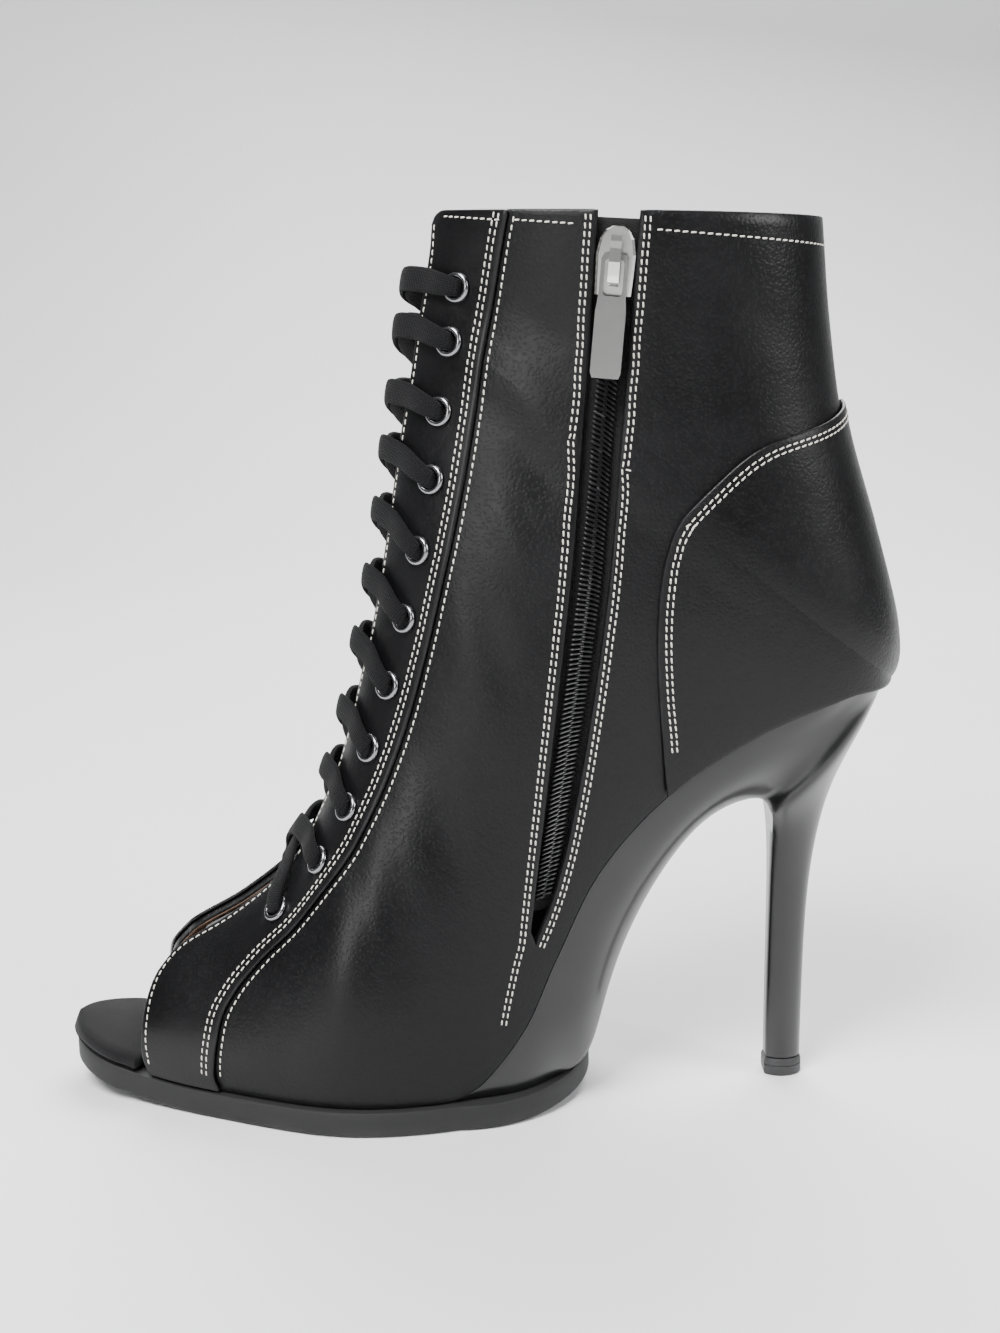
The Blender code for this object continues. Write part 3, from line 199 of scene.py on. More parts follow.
@dataclass(frozen=True)
class Finish:
    """A named material; each kind of finish draws its own nodes."""

    name: str
    colour: Colour

    def shade(self, share: float) -> tuple[float, float, float, float]:
        """The colour made lighter or darker by a share."""
        return (*(min(1.0, c * share) for c in self.colour), 1.0)

    def tones(self, g: Graph, factor: Any, dark: float, light: float) -> Wire:
        """Mix of two shades of the colour."""
        return g.blend(factor, self.shade(dark), self.shade(light))

    def draw(self, g: Graph) -> None:
        """Add the nodes of this finish."""
        raise NotImplementedError

    def material(self) -> bpy.types.Material:
        """Build the material."""
        g = Graph(self.name)
        self.draw(g)
        return g.material


@dataclass(frozen=True)
class Leather(Finish):
    """Coated leather: pebbled grain, fine pores, broad sheen changes and worn edges."""

    colour: Colour = (0.0030, 0.0030, 0.0034)
    roughness: float = 0.34
    pebble: float = 0.0010
    depth: float = 0.000060
    coat: float = 0.05

    def draw(self, g: Graph) -> None:
        """Add the nodes."""
        at = g.place()
        bend = g.noise(at, 260, 2)
        warped = g.node("ShaderNodeVectorMath", {"operation": "MULTIPLY_ADD"},
                        {0: g.node("ShaderNodeTexNoise", {}, {"Vector": at, "Scale": 900},
                                   output="Color"), 1: (0.0006,) * 3, 2: at})
        pebbles = g.cells(warped, 1 / self.pebble)
        pores = g.cells(warped, 2.7 / self.pebble)
        broad = g.noise(at, 38, 3)
        grain = pebbles.ease(0.15, 0.62) * 0.75 + pores.ease(0.0, 0.4) * 0.25
        rim = g.attribute("rim")
        wear = rim * bend.ease(0.42, 0.66)
        base = self.tones(g, broad.ease(0.3, 0.75), 0.85, 1.3)
        base = g.blend(wear * 0.5, base, self.shade(3.2))
        rough = broad.ease(0.25, 0.75, -0.05, 0.06) + bend * 0.05 + (1 - grain) * 0.10
        g.set(Base_Color=base, Roughness=rough + wear * -0.06 + self.roughness,
              Coat_Weight=(1 - broad) * self.coat, Coat_Roughness=0.22, Specular_IOR_Level=0.21)
        fold = g.bump(bend, 0.00018, 0.35)
        g.set(Normal=g.bump(grain, self.depth, 0.8, fold))


@dataclass(frozen=True)
class Lining(Finish):
    """Thin tan lining leather with a fine even grain."""

    name: str = "tan_lining"
    colour: Colour = (0.36, 0.235, 0.165)

    def draw(self, g: Graph) -> None:
        """Add the nodes."""
        at = g.place()
        grain, broad = g.cells(at, 1600), g.noise(at, 60, 3)
        g.set(Base_Color=self.tones(g, broad.ease(0.3, 0.7), 0.8, 1.1),
              Roughness=0.62 + broad * 0.1, Normal=g.bump(grain, 0.00004, 0.5))


@dataclass(frozen=True)
class Suede(Finish):
    """Microsuede: short nap with brushed patches and a soft sheen."""

    name: str = "footbed_suede"
    colour: Colour = (0.0040, 0.0040, 0.0044)

    def draw(self, g: Graph) -> None:
        """Add the nodes."""
        at = g.place()
        nap, patch = g.noise(at, 2600, 4, 0.7), g.noise(at, 55, 4, 0.6)
        g.set(Base_Color=self.tones(g, patch.ease(0.3, 0.7) * 0.7 + nap * 0.3, 0.6, 1.9),
              Roughness=0.93, Sheen_Weight=0.08, Sheen_Roughness=0.45, Specular_IOR_Level=0.2,
              Normal=g.bump(nap, 0.00022, 0.8))


@dataclass(frozen=True)
class Satin(Finish):
    """Grey-black satin of the tongue: fine ribs of weft with a broken sheen."""

    name: str = "tongue_satin"
    colour: Colour = (0.030, 0.030, 0.033)

    def draw(self, g: Graph) -> None:
        """Add the nodes."""
        along, across = g.attribute("along"), g.attribute("across")
        weft, warp = g.ribs(along, 0.45), g.ribs(across, 0.35)
        broken = g.noise(g.place(), 420, 3)
        g.set(Base_Color=self.tones(g, broken, 0.7, 1.7),
              Roughness=0.40 + broken * 0.2, Sheen_Weight=0.2,
              Normal=g.bump(weft * 0.7 + warp * 0.3, 0.00006, 0.7))


@dataclass(frozen=True)
class Cotton(Finish):
    """Flat braided cotton: two sets of strands that cross, with a little fuzz."""

    name: str = "lace_cotton"
    colour: Colour = (0.0045, 0.0045, 0.0050)
    pitch: float = 1.25

    def draw(self, g: Graph) -> None:
        """Add the nodes."""
        along, across = g.attribute("along"), g.attribute("across")
        turn = 2 * math.pi / self.pitch
        left = ((along + across * 0.9) * turn).sine()
        right = ((along - across * 0.9) * turn).sine()
        braid = (left * right) * 0.5 + 0.5
        fuzz = g.noise(g.place(), 3200, 4, 0.7)
        g.set(Base_Color=self.tones(g, braid * 0.6 + fuzz * 0.4, 0.45, 1.9),
              Roughness=0.9, Sheen_Weight=0.03, Sheen_Roughness=0.5, Specular_IOR_Level=0.12,
              Normal=g.bump(fuzz, 0.00008, 0.5, g.bump(braid, 0.00022, 0.9)))


@dataclass(frozen=True)
class Thread(Finish):
    """Off-white sewing thread with its twist."""

    name: str = "pale_thread"
    colour: Colour = (0.74, 0.71, 0.63)

    def draw(self, g: Graph) -> None:
        """Add the nodes."""
        along, across = g.attribute("along"), g.attribute("across")
        twist = (along * 9.0 + across * 6.0).sine() * 0.5 + 0.5
        dirt = g.noise(g.place(), 90, 2)
        g.set(Base_Color=self.tones(g, twist * 0.5 + dirt * 0.4, 1.08, 0.62),
              Roughness=0.7, Normal=g.bump(twist, 0.00006, 0.7))


@dataclass(frozen=True)
class Lacquer(Finish):
    """Satin lacquer of the heel and arch, with a faint orange peel and scuffs."""

    name: str = "heel_lacquer"
    colour: Colour = (0.0028, 0.0028, 0.0031)

    def draw(self, g: Graph) -> None:
        """Add the nodes."""
        at = g.place()
        peel, broad = g.noise(at, 900, 2), g.noise(at, 30, 4)
        scratch = g.noise(g.place((1, 1, 0.06)), 900, 3)
        g.set(Base_Color=self.tones(g, broad, 0.8, 1.4),
              Roughness=0.26 + broad * 0.07 + scratch.ease(0.6, 0.75) * 0.05,
              Coat_Weight=broad * 0.35, Coat_Roughness=0.12,
              Normal=g.bump(peel, 0.00003, 0.25))


@dataclass(frozen=True)
class Rubber(Finish):
    """Matt moulded rubber, dusty towards the ground."""

    colour: Colour = (0.0040, 0.0040, 0.0043)
    roughness: float = 0.60
    dust_top: float = 0.004

    def draw(self, g: Graph) -> None:
        """Add the nodes."""
        at = g.place()
        grit, broad = g.noise(at, 2200, 3), g.noise(at, 80, 3)
        dust = g.axis(at, 2).ease(0.0, self.dust_top, 1.0, 0.0) * broad.ease(0.35, 0.7)
        g.set(Base_Color=g.blend(dust * 0.35, self.tones(g, broad, 0.8, 1.3),
                                 (0.05, 0.048, 0.045, 1)),
              Roughness=self.roughness + grit * 0.12 + dust * 0.15,
              Normal=g.bump(grit, 0.00005, 0.5))


@dataclass(frozen=True)
class Metal(Finish):
    """Plated metal with hair scratches and a little tarnish."""

    colour: Colour = (0.66, 0.65, 0.63)
    roughness: float = 0.16

    def draw(self, g: Graph) -> None:
        """Add the nodes."""
        scratch = g.noise(g.place((1, 1, 0.08)), 1500, 4, 0.7)
        broad = g.noise(g.place(), 160, 3)
        g.set(Base_Color=self.tones(g, broad, 0.94, 1.04),
              Metallic=1.0, Roughness=self.roughness + scratch.ease(0.55, 0.8) * 0.05
              + broad * 0.02, Normal=g.bump(scratch, 0.00001, 0.15))


@dataclass(frozen=True)
class Webbing(Finish):
    """Twill zip tape: slanted ribs across and warp ends along."""

    name: str = "zip_tape_twill"
    colour: Colour = (0.0042, 0.0042, 0.0042)

    def draw(self, g: Graph) -> None:
        """Add the nodes."""
        at = g.place()
        x, z = g.axis(at, 0), g.axis(at, 2)
        weave = g.ribs(x * 0.55 + z, 0.0008) * 0.65 + g.ribs(x, 0.0005) * 0.35
        g.set(Base_Color=self.tones(g, weave, 0.5, 1.8),
              Roughness=0.82, Specular_IOR_Level=0.3, Normal=g.bump(weave, 0.00009, 0.8))


@dataclass(frozen=True)
class Nylon(Finish):
    """Moulded nylon of the zip's coil."""

    name: str = "zip_coil_nylon"
    colour: Colour = (0.0050, 0.0050, 0.0054)

    def draw(self, g: Graph) -> None:
        """Add the nodes."""
        at = g.place()
        broad, fine = g.noise(at, 300, 3), g.noise(at, 4000, 2)
        g.set(Base_Color=self.tones(g, broad, 0.8, 1.5),
              Roughness=0.34 + broad * 0.12, Normal=g.bump(fine, 0.00002, 0.4))


# ---------------------------------------------------------------- the last


def even(start: float, end: float, count: int) -> Array:
    """Evenly spaced values."""
    return np.linspace(start, end, count)


def rows_curve(table: Any, place: Any) -> Array:
    """Catmull-Rom curve through the rows of a table, one row for each whole place."""
    table = np.asarray(table, float)
    slope = np.gradient(table, axis=0)
    place = np.clip(np.asarray(place, float), 0, len(table) - 1)
    row = np.minimum(place.astype(int), len(table) - 2)
    u = (place - row)[..., None]
    return ((2 * u**3 - 3 * u**2 + 1) * table[row] + (u**3 - 2 * u**2 + u) * slope[row]
            + (3 * u**2 - 2 * u**3) * table[row + 1] + (u**3 - u**2) * slope[row + 1])


def read_column(xs: Any, ys: Any, x: Any) -> Array:
    """Monotone cubic reading of y at x; the slopes are weighted harmonic means."""
    xs, ys, x = (np.asarray(v, float) for v in (xs, ys, x))
    step = np.diff(xs)
    rate = np.diff(ys) / step
    near, far = 2 * step[1:] + step[:-1], step[1:] + 2 * step[:-1]
    before, after = rate[:-1], rate[1:]
    same = before * after > 0
    inside = np.where(same, (near + far) / (near / np.where(same, before, 1)
                                            + far / np.where(same, after, 1)), 0)
    slope = np.concatenate([rate[:1], inside, rate[-1:]])
    x = np.clip(x, xs[0], xs[-1])
    k = np.clip(np.searchsorted(xs, x) - 1, 0, len(xs) - 2)
    u = (x - xs[k]) / step[k]
    return ((2 * u**3 - 3 * u**2 + 1) * ys[k] + (u**3 - 2 * u**2 + u) * step[k] * slope[k]
            + (3 * u**2 - 2 * u**3) * ys[k + 1] + (u**3 - u**2) * step[k] * slope[k + 1])


def softened(curve: Array, width: float) -> Array:
    """Curve averaged with bell weights; both ends are carried on by point reflection."""
    reach = int(3 * width)
    bell = np.exp(-(np.arange(-reach, reach + 1) / width)**2)
    head, tail = 2 * curve[0] - curve[reach:0:-1], 2 * curve[-1] - curve[-2:-reach - 2:-1]
    full = np.concatenate([head, curve, tail])
    return np.stack([np.convolve(column, bell / bell.sum(), "valid") for column in full.T], -1)


def unit(vectors: Array) -> Array:
    """Vectors of length one."""
    return vectors / np.maximum(np.linalg.norm(vectors, axis=-1, keepdims=True), 1e-12)


def paired(station: Any, turn: Any) -> list[Array]:
    """Stations and turns as numbers in one shape."""
    return np.broadcast_arrays(np.asarray(station, float), np.asarray(turn, float))


def run_length(points: Array) -> Array:
    """Distance along a path at each of its points."""
    return np.concatenate([[0], np.cumsum(np.linalg.norm(np.diff(points, axis=0), axis=-1))])


def read_path(place: Array, run: Array, path: Array) -> Array:
    """Points of a path at distances along it."""
    return np.stack([np.interp(place, run, column) for column in path.T], -1)


def circle(count: int) -> Array:
    """Angles once round, without the last."""
    return even(0, 2 * math.pi, count + 1)[:-1]


def smooth_step(share: Array) -> Array:
    """Smooth rise from 0 to 1."""
    return 3 * share**2 - 2 * share**3


def halved(low: Array, high: Array, further: Callable[[Array], Array], times: int) -> Array:
    """Value up to which a test holds, by halving the interval."""
    for _ in range(times):
        middle = (low + high) / 2
        onwards = further(middle)
        low, high = np.where(onwards, middle, low), np.where(onwards, high, middle)
    return (low + high) / 2


def both_halves(near: Array, far: Array) -> Array:
    """Rings from their two halves, the second one turned round."""
    return np.concatenate([near, far[:, ::-1]], 1)


@dataclass(frozen=True)
class Last:
    """The form inside the boot: a fan of sections with a curve from front ridge to edge."""

    length: float = 0.2272
    ball_width: float = 0.080
    heel_width: float = 0.060
    collar_width: float = 0.062
    heel_seat: float = 0.112
    shaft_height: float = 0.123
    instep_height: float = 0.076
    toe_spring: float = 0.0074
    breast_lift: float = 0.0029
    outsole_thick: float = 0.0070
    clear: float = 0.0003
    mid_share: float = 0.044
    heel_station: float = 13.0
    throat_gap: float = 0.0170
    collar_corner: float = 0.0050
    seat_round: float = 0.865
    seat_end: float = 0.985
    seat_power: float = 2.4
    spring_start: float = 0.178
    lift_start: float = 0.508
    outsole_end: float = 0.634
    # front: share of the length, then shares of instep, seat and shaft height; edge: share of
    # the length, shares of seat and shaft height; kind of width (0 ball, 1 heel, 2 collar);
    # inner and outer half as shares of the width; ridge; fullness
    sections: tuple = (
        (0.073, 0.26, 0, 0, 0.073, 0, 0, 0, 0.2, 0.325, 0.1, 0),
        (0.141, 0.46, 0, 0, 0.117, 0, 0, 0, 0.264, 0.365, 0.12, 0),
        (0.218, 0.6, 0, 0, 0.187, 0, 0, 0, 0.356, 0.41, 0.15, 0),
        (0.284, 0.77, 0, 0, 0.266, 0, 0, 0, 0.455, 0.44, 0.18, 0),
        (0.326, 1, 0, 0, 0.345, 0, 0, 0, 0.528, 0.448, 0.2, 0),
        (0.352, 1, 0.16, 0, 0.425, 0, 0, 0, 0.52, 0.442, 0.2, 0),
        (0.372, 1, 0.35, 0, 0.491, 0.021, 0, 0.1, 0.488, 0.44, 0.18, 0),
        (0.388, 1, 0.51, 0, 0.551, 0.16, 0, 0.28, 0.468, 0.44, 0.15, 0),
        (0.401, 0.9, 0.75, 0, 0.592, 0.349, 0, 0.5, 0.47, 0.46, 0.12, 0.02),
        (0.412, 0.75, 1, 0.01, 0.645, 0.57, 0, 0.7, 0.485, 0.48, 0.08, 0.06),
        (0.42, 0.6, 1, 0.21, 0.733, 0.771, 0, 0.85, 0.49, 0.49, 0.04, 0.14),
        (0.428, 0.45, 1, 0.4, 0.838, 0.917, 0, 0.95, 0.5, 0.5, 0.02, 0.24),
        (0.434, 0.3, 1, 0.58, 0.926, 0.99, 0, 1, 0.5, 0.5, 0, 0.32),
        (0.439, 0.2, 1, 0.69, 0.985, 1, 0.008, 1, 0.5, 0.5, 0, 0.35),
        (0.444, 0.12, 1, 0.79, 0.992, 1, 0.116, 1, 0.492, 0.492, 0, 0.35),
        (0.449, 0.06, 1, 0.87, 0.963, 1, 0.329, 1.15, 0.482, 0.482, 0, 0.34),
        (0.453, 0.03, 1, 0.92, 0.928, 1, 0.553, 1.4, 0.48, 0.48, 0, 0.3),
        (0.456, 0.01, 1, 0.965, 0.91, 1, 0.772, 1.75, 0.488, 0.488, 0, 0.25),
        (0.46, 0, 1, 1, 0.9, 1, 0.977, 2, 0.5, 0.5, 0, 0.2),
    )
    # share of the length, inner and outer half width as shares of the ball's width
    feather: tuple = (
        (0.073, 0.172, 0.288), (0.117, 0.229, 0.338), (0.187, 0.325, 0.388), (0.266, 0.425, 0.421),
        (0.345, 0.506, 0.428), (0.425, 0.494, 0.421), (0.491, 0.44, 0.394), (0.551, 0.388, 0.363),
        (0.592, 0.348, 0.344), (0.645, 0.313, 0.325), (0.733, 0.29, 0.312), (0.838, 0.3, 0.306),
        (0.985, 0.306, 0.306),
    )

    @property
    def top(self) -> int:
        """Station of the collar."""
        return len(self.sections) - 1

    @property
    def heel_rise(self) -> float:
        """Height of the heel seat over the outsole."""
        return self.heel_seat - self.outsole_thick

    @property
    def mid_y(self) -> float:
        """Mid-plane of the last."""
        return self.mid_share * self.ball_width

    def x_at(self, share: Any) -> Array:
        """World x of a share of the length."""
        return (np.asarray(share, float) - 0.5) * self.length

    def sole_bottom(self, share: Any) -> Array:
        """Height of the outsole's underside: squared rise at the toe and at the rear end."""
        share = np.asarray(share, float)
        toe = np.clip((self.spring_start - share) / self.spring_start, 0, 1.2)
        rear = np.clip((share - self.lift_start) / (self.outsole_end - self.lift_start), 0, None)
        rear = np.where(share > self.outsole_end, 0, rear)
        return self.toe_spring * toe**2 + self.breast_lift * rear**2

    @cached_property
    def soft_feather(self) -> Array:
        """Feather line without corners: share, inner and outer half width."""
        table = np.array(self.feather)
        share = even(table[0, 0], table[-1, 0], 461)
        halves = np.stack([read_column(table[:, 0], table[:, k], share) for k in (1, 2)], -1)
        return np.concatenate([share[:, None], softened(halves, 30.0)], -1)

    def feather_half(self, share: Any, side: Side) -> Array:
        """Half width of the feather line, closed by a superellipse behind the seat."""
        share = np.asarray(share, float)
        table = self.soft_feather
        half = np.interp(share, table[:, 0], table[:, 1 if side is Side.INNER else 2])
        half = half * self.ball_width
        return half * np.sqrt(1 - self.seat_share(share)**self.seat_power)

    def seat_share(self, share: Array) -> Array:
        """0 where the heel seat's round end begins, 1 at its back."""
        return np.clip((share - self.seat_round) / (self.seat_end - self.seat_round), 0, 1)

    def section(self, station: Any) -> tuple[Array, ...]:
        """Front point, edge point, edge share, width, halves, ridge and fullness."""
        row = rows_curve(self.sections, station)
        front = np.stack([self.x_at(row[..., 0]), self.outsole_thick + self.clear
                          + row[..., 1] * self.instep_height + row[..., 2]
                          * (self.heel_rise - self.clear) + row[..., 3] * self.shaft_height], -1)
        spring = np.where(row[..., 4] < self.spring_start, self.sole_bottom(row[..., 4]), 0)
        edge = np.stack([self.x_at(row[..., 4]), self.outsole_thick + self.clear + spring
                         + row[..., 5] * self.heel_rise + row[..., 6] * self.shaft_height], -1)
        width = np.interp(row[..., 7], (0, 1, 2),
                          (self.ball_width, self.heel_width, self.collar_width))
        return front, edge, row[..., 4], width, row[..., 8], row[..., 9], row[..., 10], row[..., 11]

    @staticmethod
    def bulge(turn: Array, fullness: Array) -> Array:
        """Share of the half width: half a sine wave, fuller towards the back."""
        angle = turn * math.pi
        return np.sin(angle) * (1 + fullness * ((1 - np.cos(angle)) / 2)**3)

    def edge_turn(self, station: Any, side: Side) -> Array:
        """Turn at which the section ends, by halving an interval until it meets the feather."""
        _, _, share, width, inner, outer, _, fullness = self.section(station)
        half = width * (inner if side is Side.INNER else outer)
        foot = np.where(np.asarray(station) >= self.heel_station, 0, self.feather_half(share, side))
        goal = np.clip(foot / half, 0, 0.999)
        turn = halved(np.full_like(goal, 0.5), np.ones_like(goal),
                      lambda middle: self.bulge(middle, fullness) > goal, 32)
        return np.where(goal > 0, turn, 1.0)

    def point(self, station: Any, turn: Any, side: Side) -> Array:
        """Point of the last: the edge plus a cosine share of the way to the front."""
        station, turn = paired(station, turn)
        front, edge, _, width, inner, outer, ridge, fullness = self.section(station)
        half = width * (inner if side is Side.INNER else outer)
        end = np.cos(self.edge_turn(station, side) * math.pi)
        up = (np.cos(turn * math.pi) - end) / (1 - end)
        y = half * self.bulge(turn, fullness) * (1 - ridge * np.clip(up, 0, 1)**2)
        flat = edge + up[..., None] * (front - edge)
        return np.stack([flat[..., 0], self.mid_y + side.value * y, flat[..., 1]], -1)

    def at(self, place: Array, side: Side) -> Array:
        """Points of the last at a grid of places."""
        return self.point(place[..., 0], place[..., 1], side)

    def over(self, place: Array, side: Side, lift: Any) -> Array:
        """Points at a height over a grid of places."""
        return self.lifted(place[..., 0], place[..., 1], side, lift)

    def normal(self, place: Array, side: Side) -> Array:
        """Outward normals at a grid of places, read no higher than the collar."""
        return self.outward(np.minimum(place[..., 0], self.top), place[..., 1], side)

    def outward(self, station: Any, turn: Any, side: Side, step: float = 1e-3) -> Array:
        """Outward normal from small steps along and round the last."""
        station, turn = paired(station, turn)
        low, high = np.clip(station - step, 0, None), np.clip(station + step, None, self.top)
        along = self.point(high, turn, side) - self.point(low, turn, side)
        across = self.point(station, turn + step, side) - self.point(station, turn - step, side)
        return unit(np.cross(along, across) * side.value)

    def lifted(self, station: Any, turn: Any, side: Side, lift: Any) -> Array:
        """Point at a height over the last; above the collar it goes straight up."""
        station, turn = paired(station, turn)
        beyond = np.clip(station - self.top, 0, None)
        low = np.minimum(station, self.top)
        lift = np.broadcast_to(np.asarray(lift, float), station.shape)[..., None]
        point = self.point(low, turn, side) + self.outward(low, turn, side) * lift
        return point + beyond[..., None] * np.array((0, 0, self.shaft_height / 20))

    def signed(self, station: Any, turn: Any, lift: Any) -> Array:
        """Point at a height over the last where a negative turn is on the inner side."""
        station, turn = paired(station, turn)
        inner = self.lifted(station, np.abs(turn), Side.INNER, lift)
        outer = self.lifted(station, np.abs(turn), Side.OUTER, lift)
        return np.where((turn < 0)[..., None], inner, outer)

    def signed_normal(self, station: Any, turn: Any) -> Array:
        """Outward normal where a negative turn is on the inner side."""
        station, turn = paired(station, turn)
        low = np.minimum(station, self.top)
        return np.where((turn < 0)[..., None], self.outward(low, np.abs(turn), Side.INNER),
                        self.outward(low, np.abs(turn), Side.OUTER))

    def turn_at_half(self, station: Any, half_width: float, side: Side) -> Array:
        """Turn at which the section is this far from the mid-plane."""
        station = np.asarray(station, float)

        def inside(middle: Array) -> Array:
            y = self.point(station, middle, side)[..., 1]
            return ~(side.value * (y - self.mid_y) > half_width)

        return halved(np.zeros_like(station), np.full_like(station, 0.45), inside, 30)

    def throat_turn(self, station: Any, side: Side) -> Array:
        """Turn of the throat's edge."""
        return self.turn_at_half(station, self.throat_gap / 2, side)

    def collar_station(self, arc: Array) -> Array:
        """Station of the collar at a distance from the throat: a round corner."""
        corner = np.clip(1 - arc / self.collar_corner, 0, 1)
        return self.top - 0.85 * (1 - np.sqrt(1 - corner**2))

    def steps(self, place: Array, side: Side, step: float = 1e-3) -> tuple[Array, Array]:
        """Change of the point for a unit of station and for a unit of turn."""
        s, t = np.minimum(place[..., 0], self.top - step), place[..., 1]
        along = self.point(s + step, t, side) - self.point(s - step, t, side)
        across = self.point(s, t + step, side) - self.point(s, t - step, side)
        return along / (2 * step), across / (2 * step)

    def shifted(self, place: Array, side: Side, distance: Any) -> Array:
        """Path moved sideways over the last.

        Args:
            place: path of stations and turns.
            side: side of the boot.
            distance: metres towards larger turns.

        Returns:
            The path whose points lie that far from the old ones, square to it.
        """
        _, across = self.steps(place, side)
        run = np.gradient(self.at(place, side), axis=0)
        aside = unit(np.cross(run, self.normal(place, side)))
        aside = aside * np.sign((aside * across).sum())
        return self.moved(place, side, aside * np.asarray(distance, float)[..., None])

    def moved(self, place: Array, side: Side, goal: Array) -> Array:
        """Places after a small move in space, by least squares on the two steps."""
        along, across = self.steps(place, side)
        aa, ac, cc = (along**2).sum(-1), (along * across).sum(-1), (across**2).sum(-1)
        ga, gc = (goal * along).sum(-1), (goal * across).sum(-1)
        det = aa * cc - ac**2
        return place + np.stack([(ga * cc - gc * ac) / det, (gc * aa - ga * ac) / det], -1)

    def settled(self, place: Array, side: Side, width: float) -> Array:
        """Path whose points in space are averaged along it, found in a few moves."""
        goal = softened(self.at(place, side), width)
        for _ in range(6):
            place = self.moved(place, side, goal - self.at(place, side))
        return place

    def base_line(self, share: Any) -> Array:
        """Height of the feather line at a share of the length."""
        _, edge, shares, *_ = self.section(even(0, self.heel_station, 521))
        height = np.interp(share, shares, edge[:, 1])
        toe = self.outsole_thick + self.clear + self.sole_bottom(
            np.minimum(share, self.spring_start))
        return np.where(np.asarray(share) < shares[0], toe, height)

    def base_normal(self, share: Any, step: float = 4e-3) -> Array:
        """Upward normal (x, z) of the feather line seen from the side."""
        share = np.asarray(share, float)
        slope = (self.base_line(share + step) - self.base_line(share - step)) / (
            2 * step * self.length)
        slope = np.where(share > self.seat_end - 2 * step, 0.08, slope)
        return np.stack([-slope, np.ones_like(slope)], -1) / np.hypot(slope, 1)[..., None]


LAST = Last()


# ---------------------------------------------------------------- meshes


def quads(rows: int, columns: int, first: int = 0, wrap: bool = False) -> Array:
    """Faces of a grid of points, as an array of four numbers for each."""
    number = first + np.arange(rows * columns).reshape(rows, columns)
    if wrap:
        number = np.concatenate([number, number[:, :1]], 1)
    return np.stack([number[:-1, :-1], number[1:, :-1], number[1:, 1:], number[:-1, 1:]],
                    -1).reshape(-1, 4)


def beads(shape: tuple[int, ...], first: Sequence[Sequence[int]],
          final: Sequence[Sequence[int]]) -> Array:
    """Faces of many small closed bodies made of rings.

    Args:
        shape: number of bodies, of rings in each and of points in a ring.
        first: corners of the quads that close the first ring.
        final: corners of the quads that close the last ring.

    Returns:
        Quads that count from the first body's first point.
    """
    number = np.arange(math.prod(shape)).reshape(shape)
    ahead = np.roll(number, -1, axis=2)
    sides = np.stack([number[:, :-1], number[:, 1:], ahead[:, 1:], ahead[:, :-1]], -1)
    caps = [number[:, k][:, list(order)] for k, orders in ((0, first), (-1, final))
            for order in orders]
    return np.concatenate([sides.reshape(-1, 4), *caps])


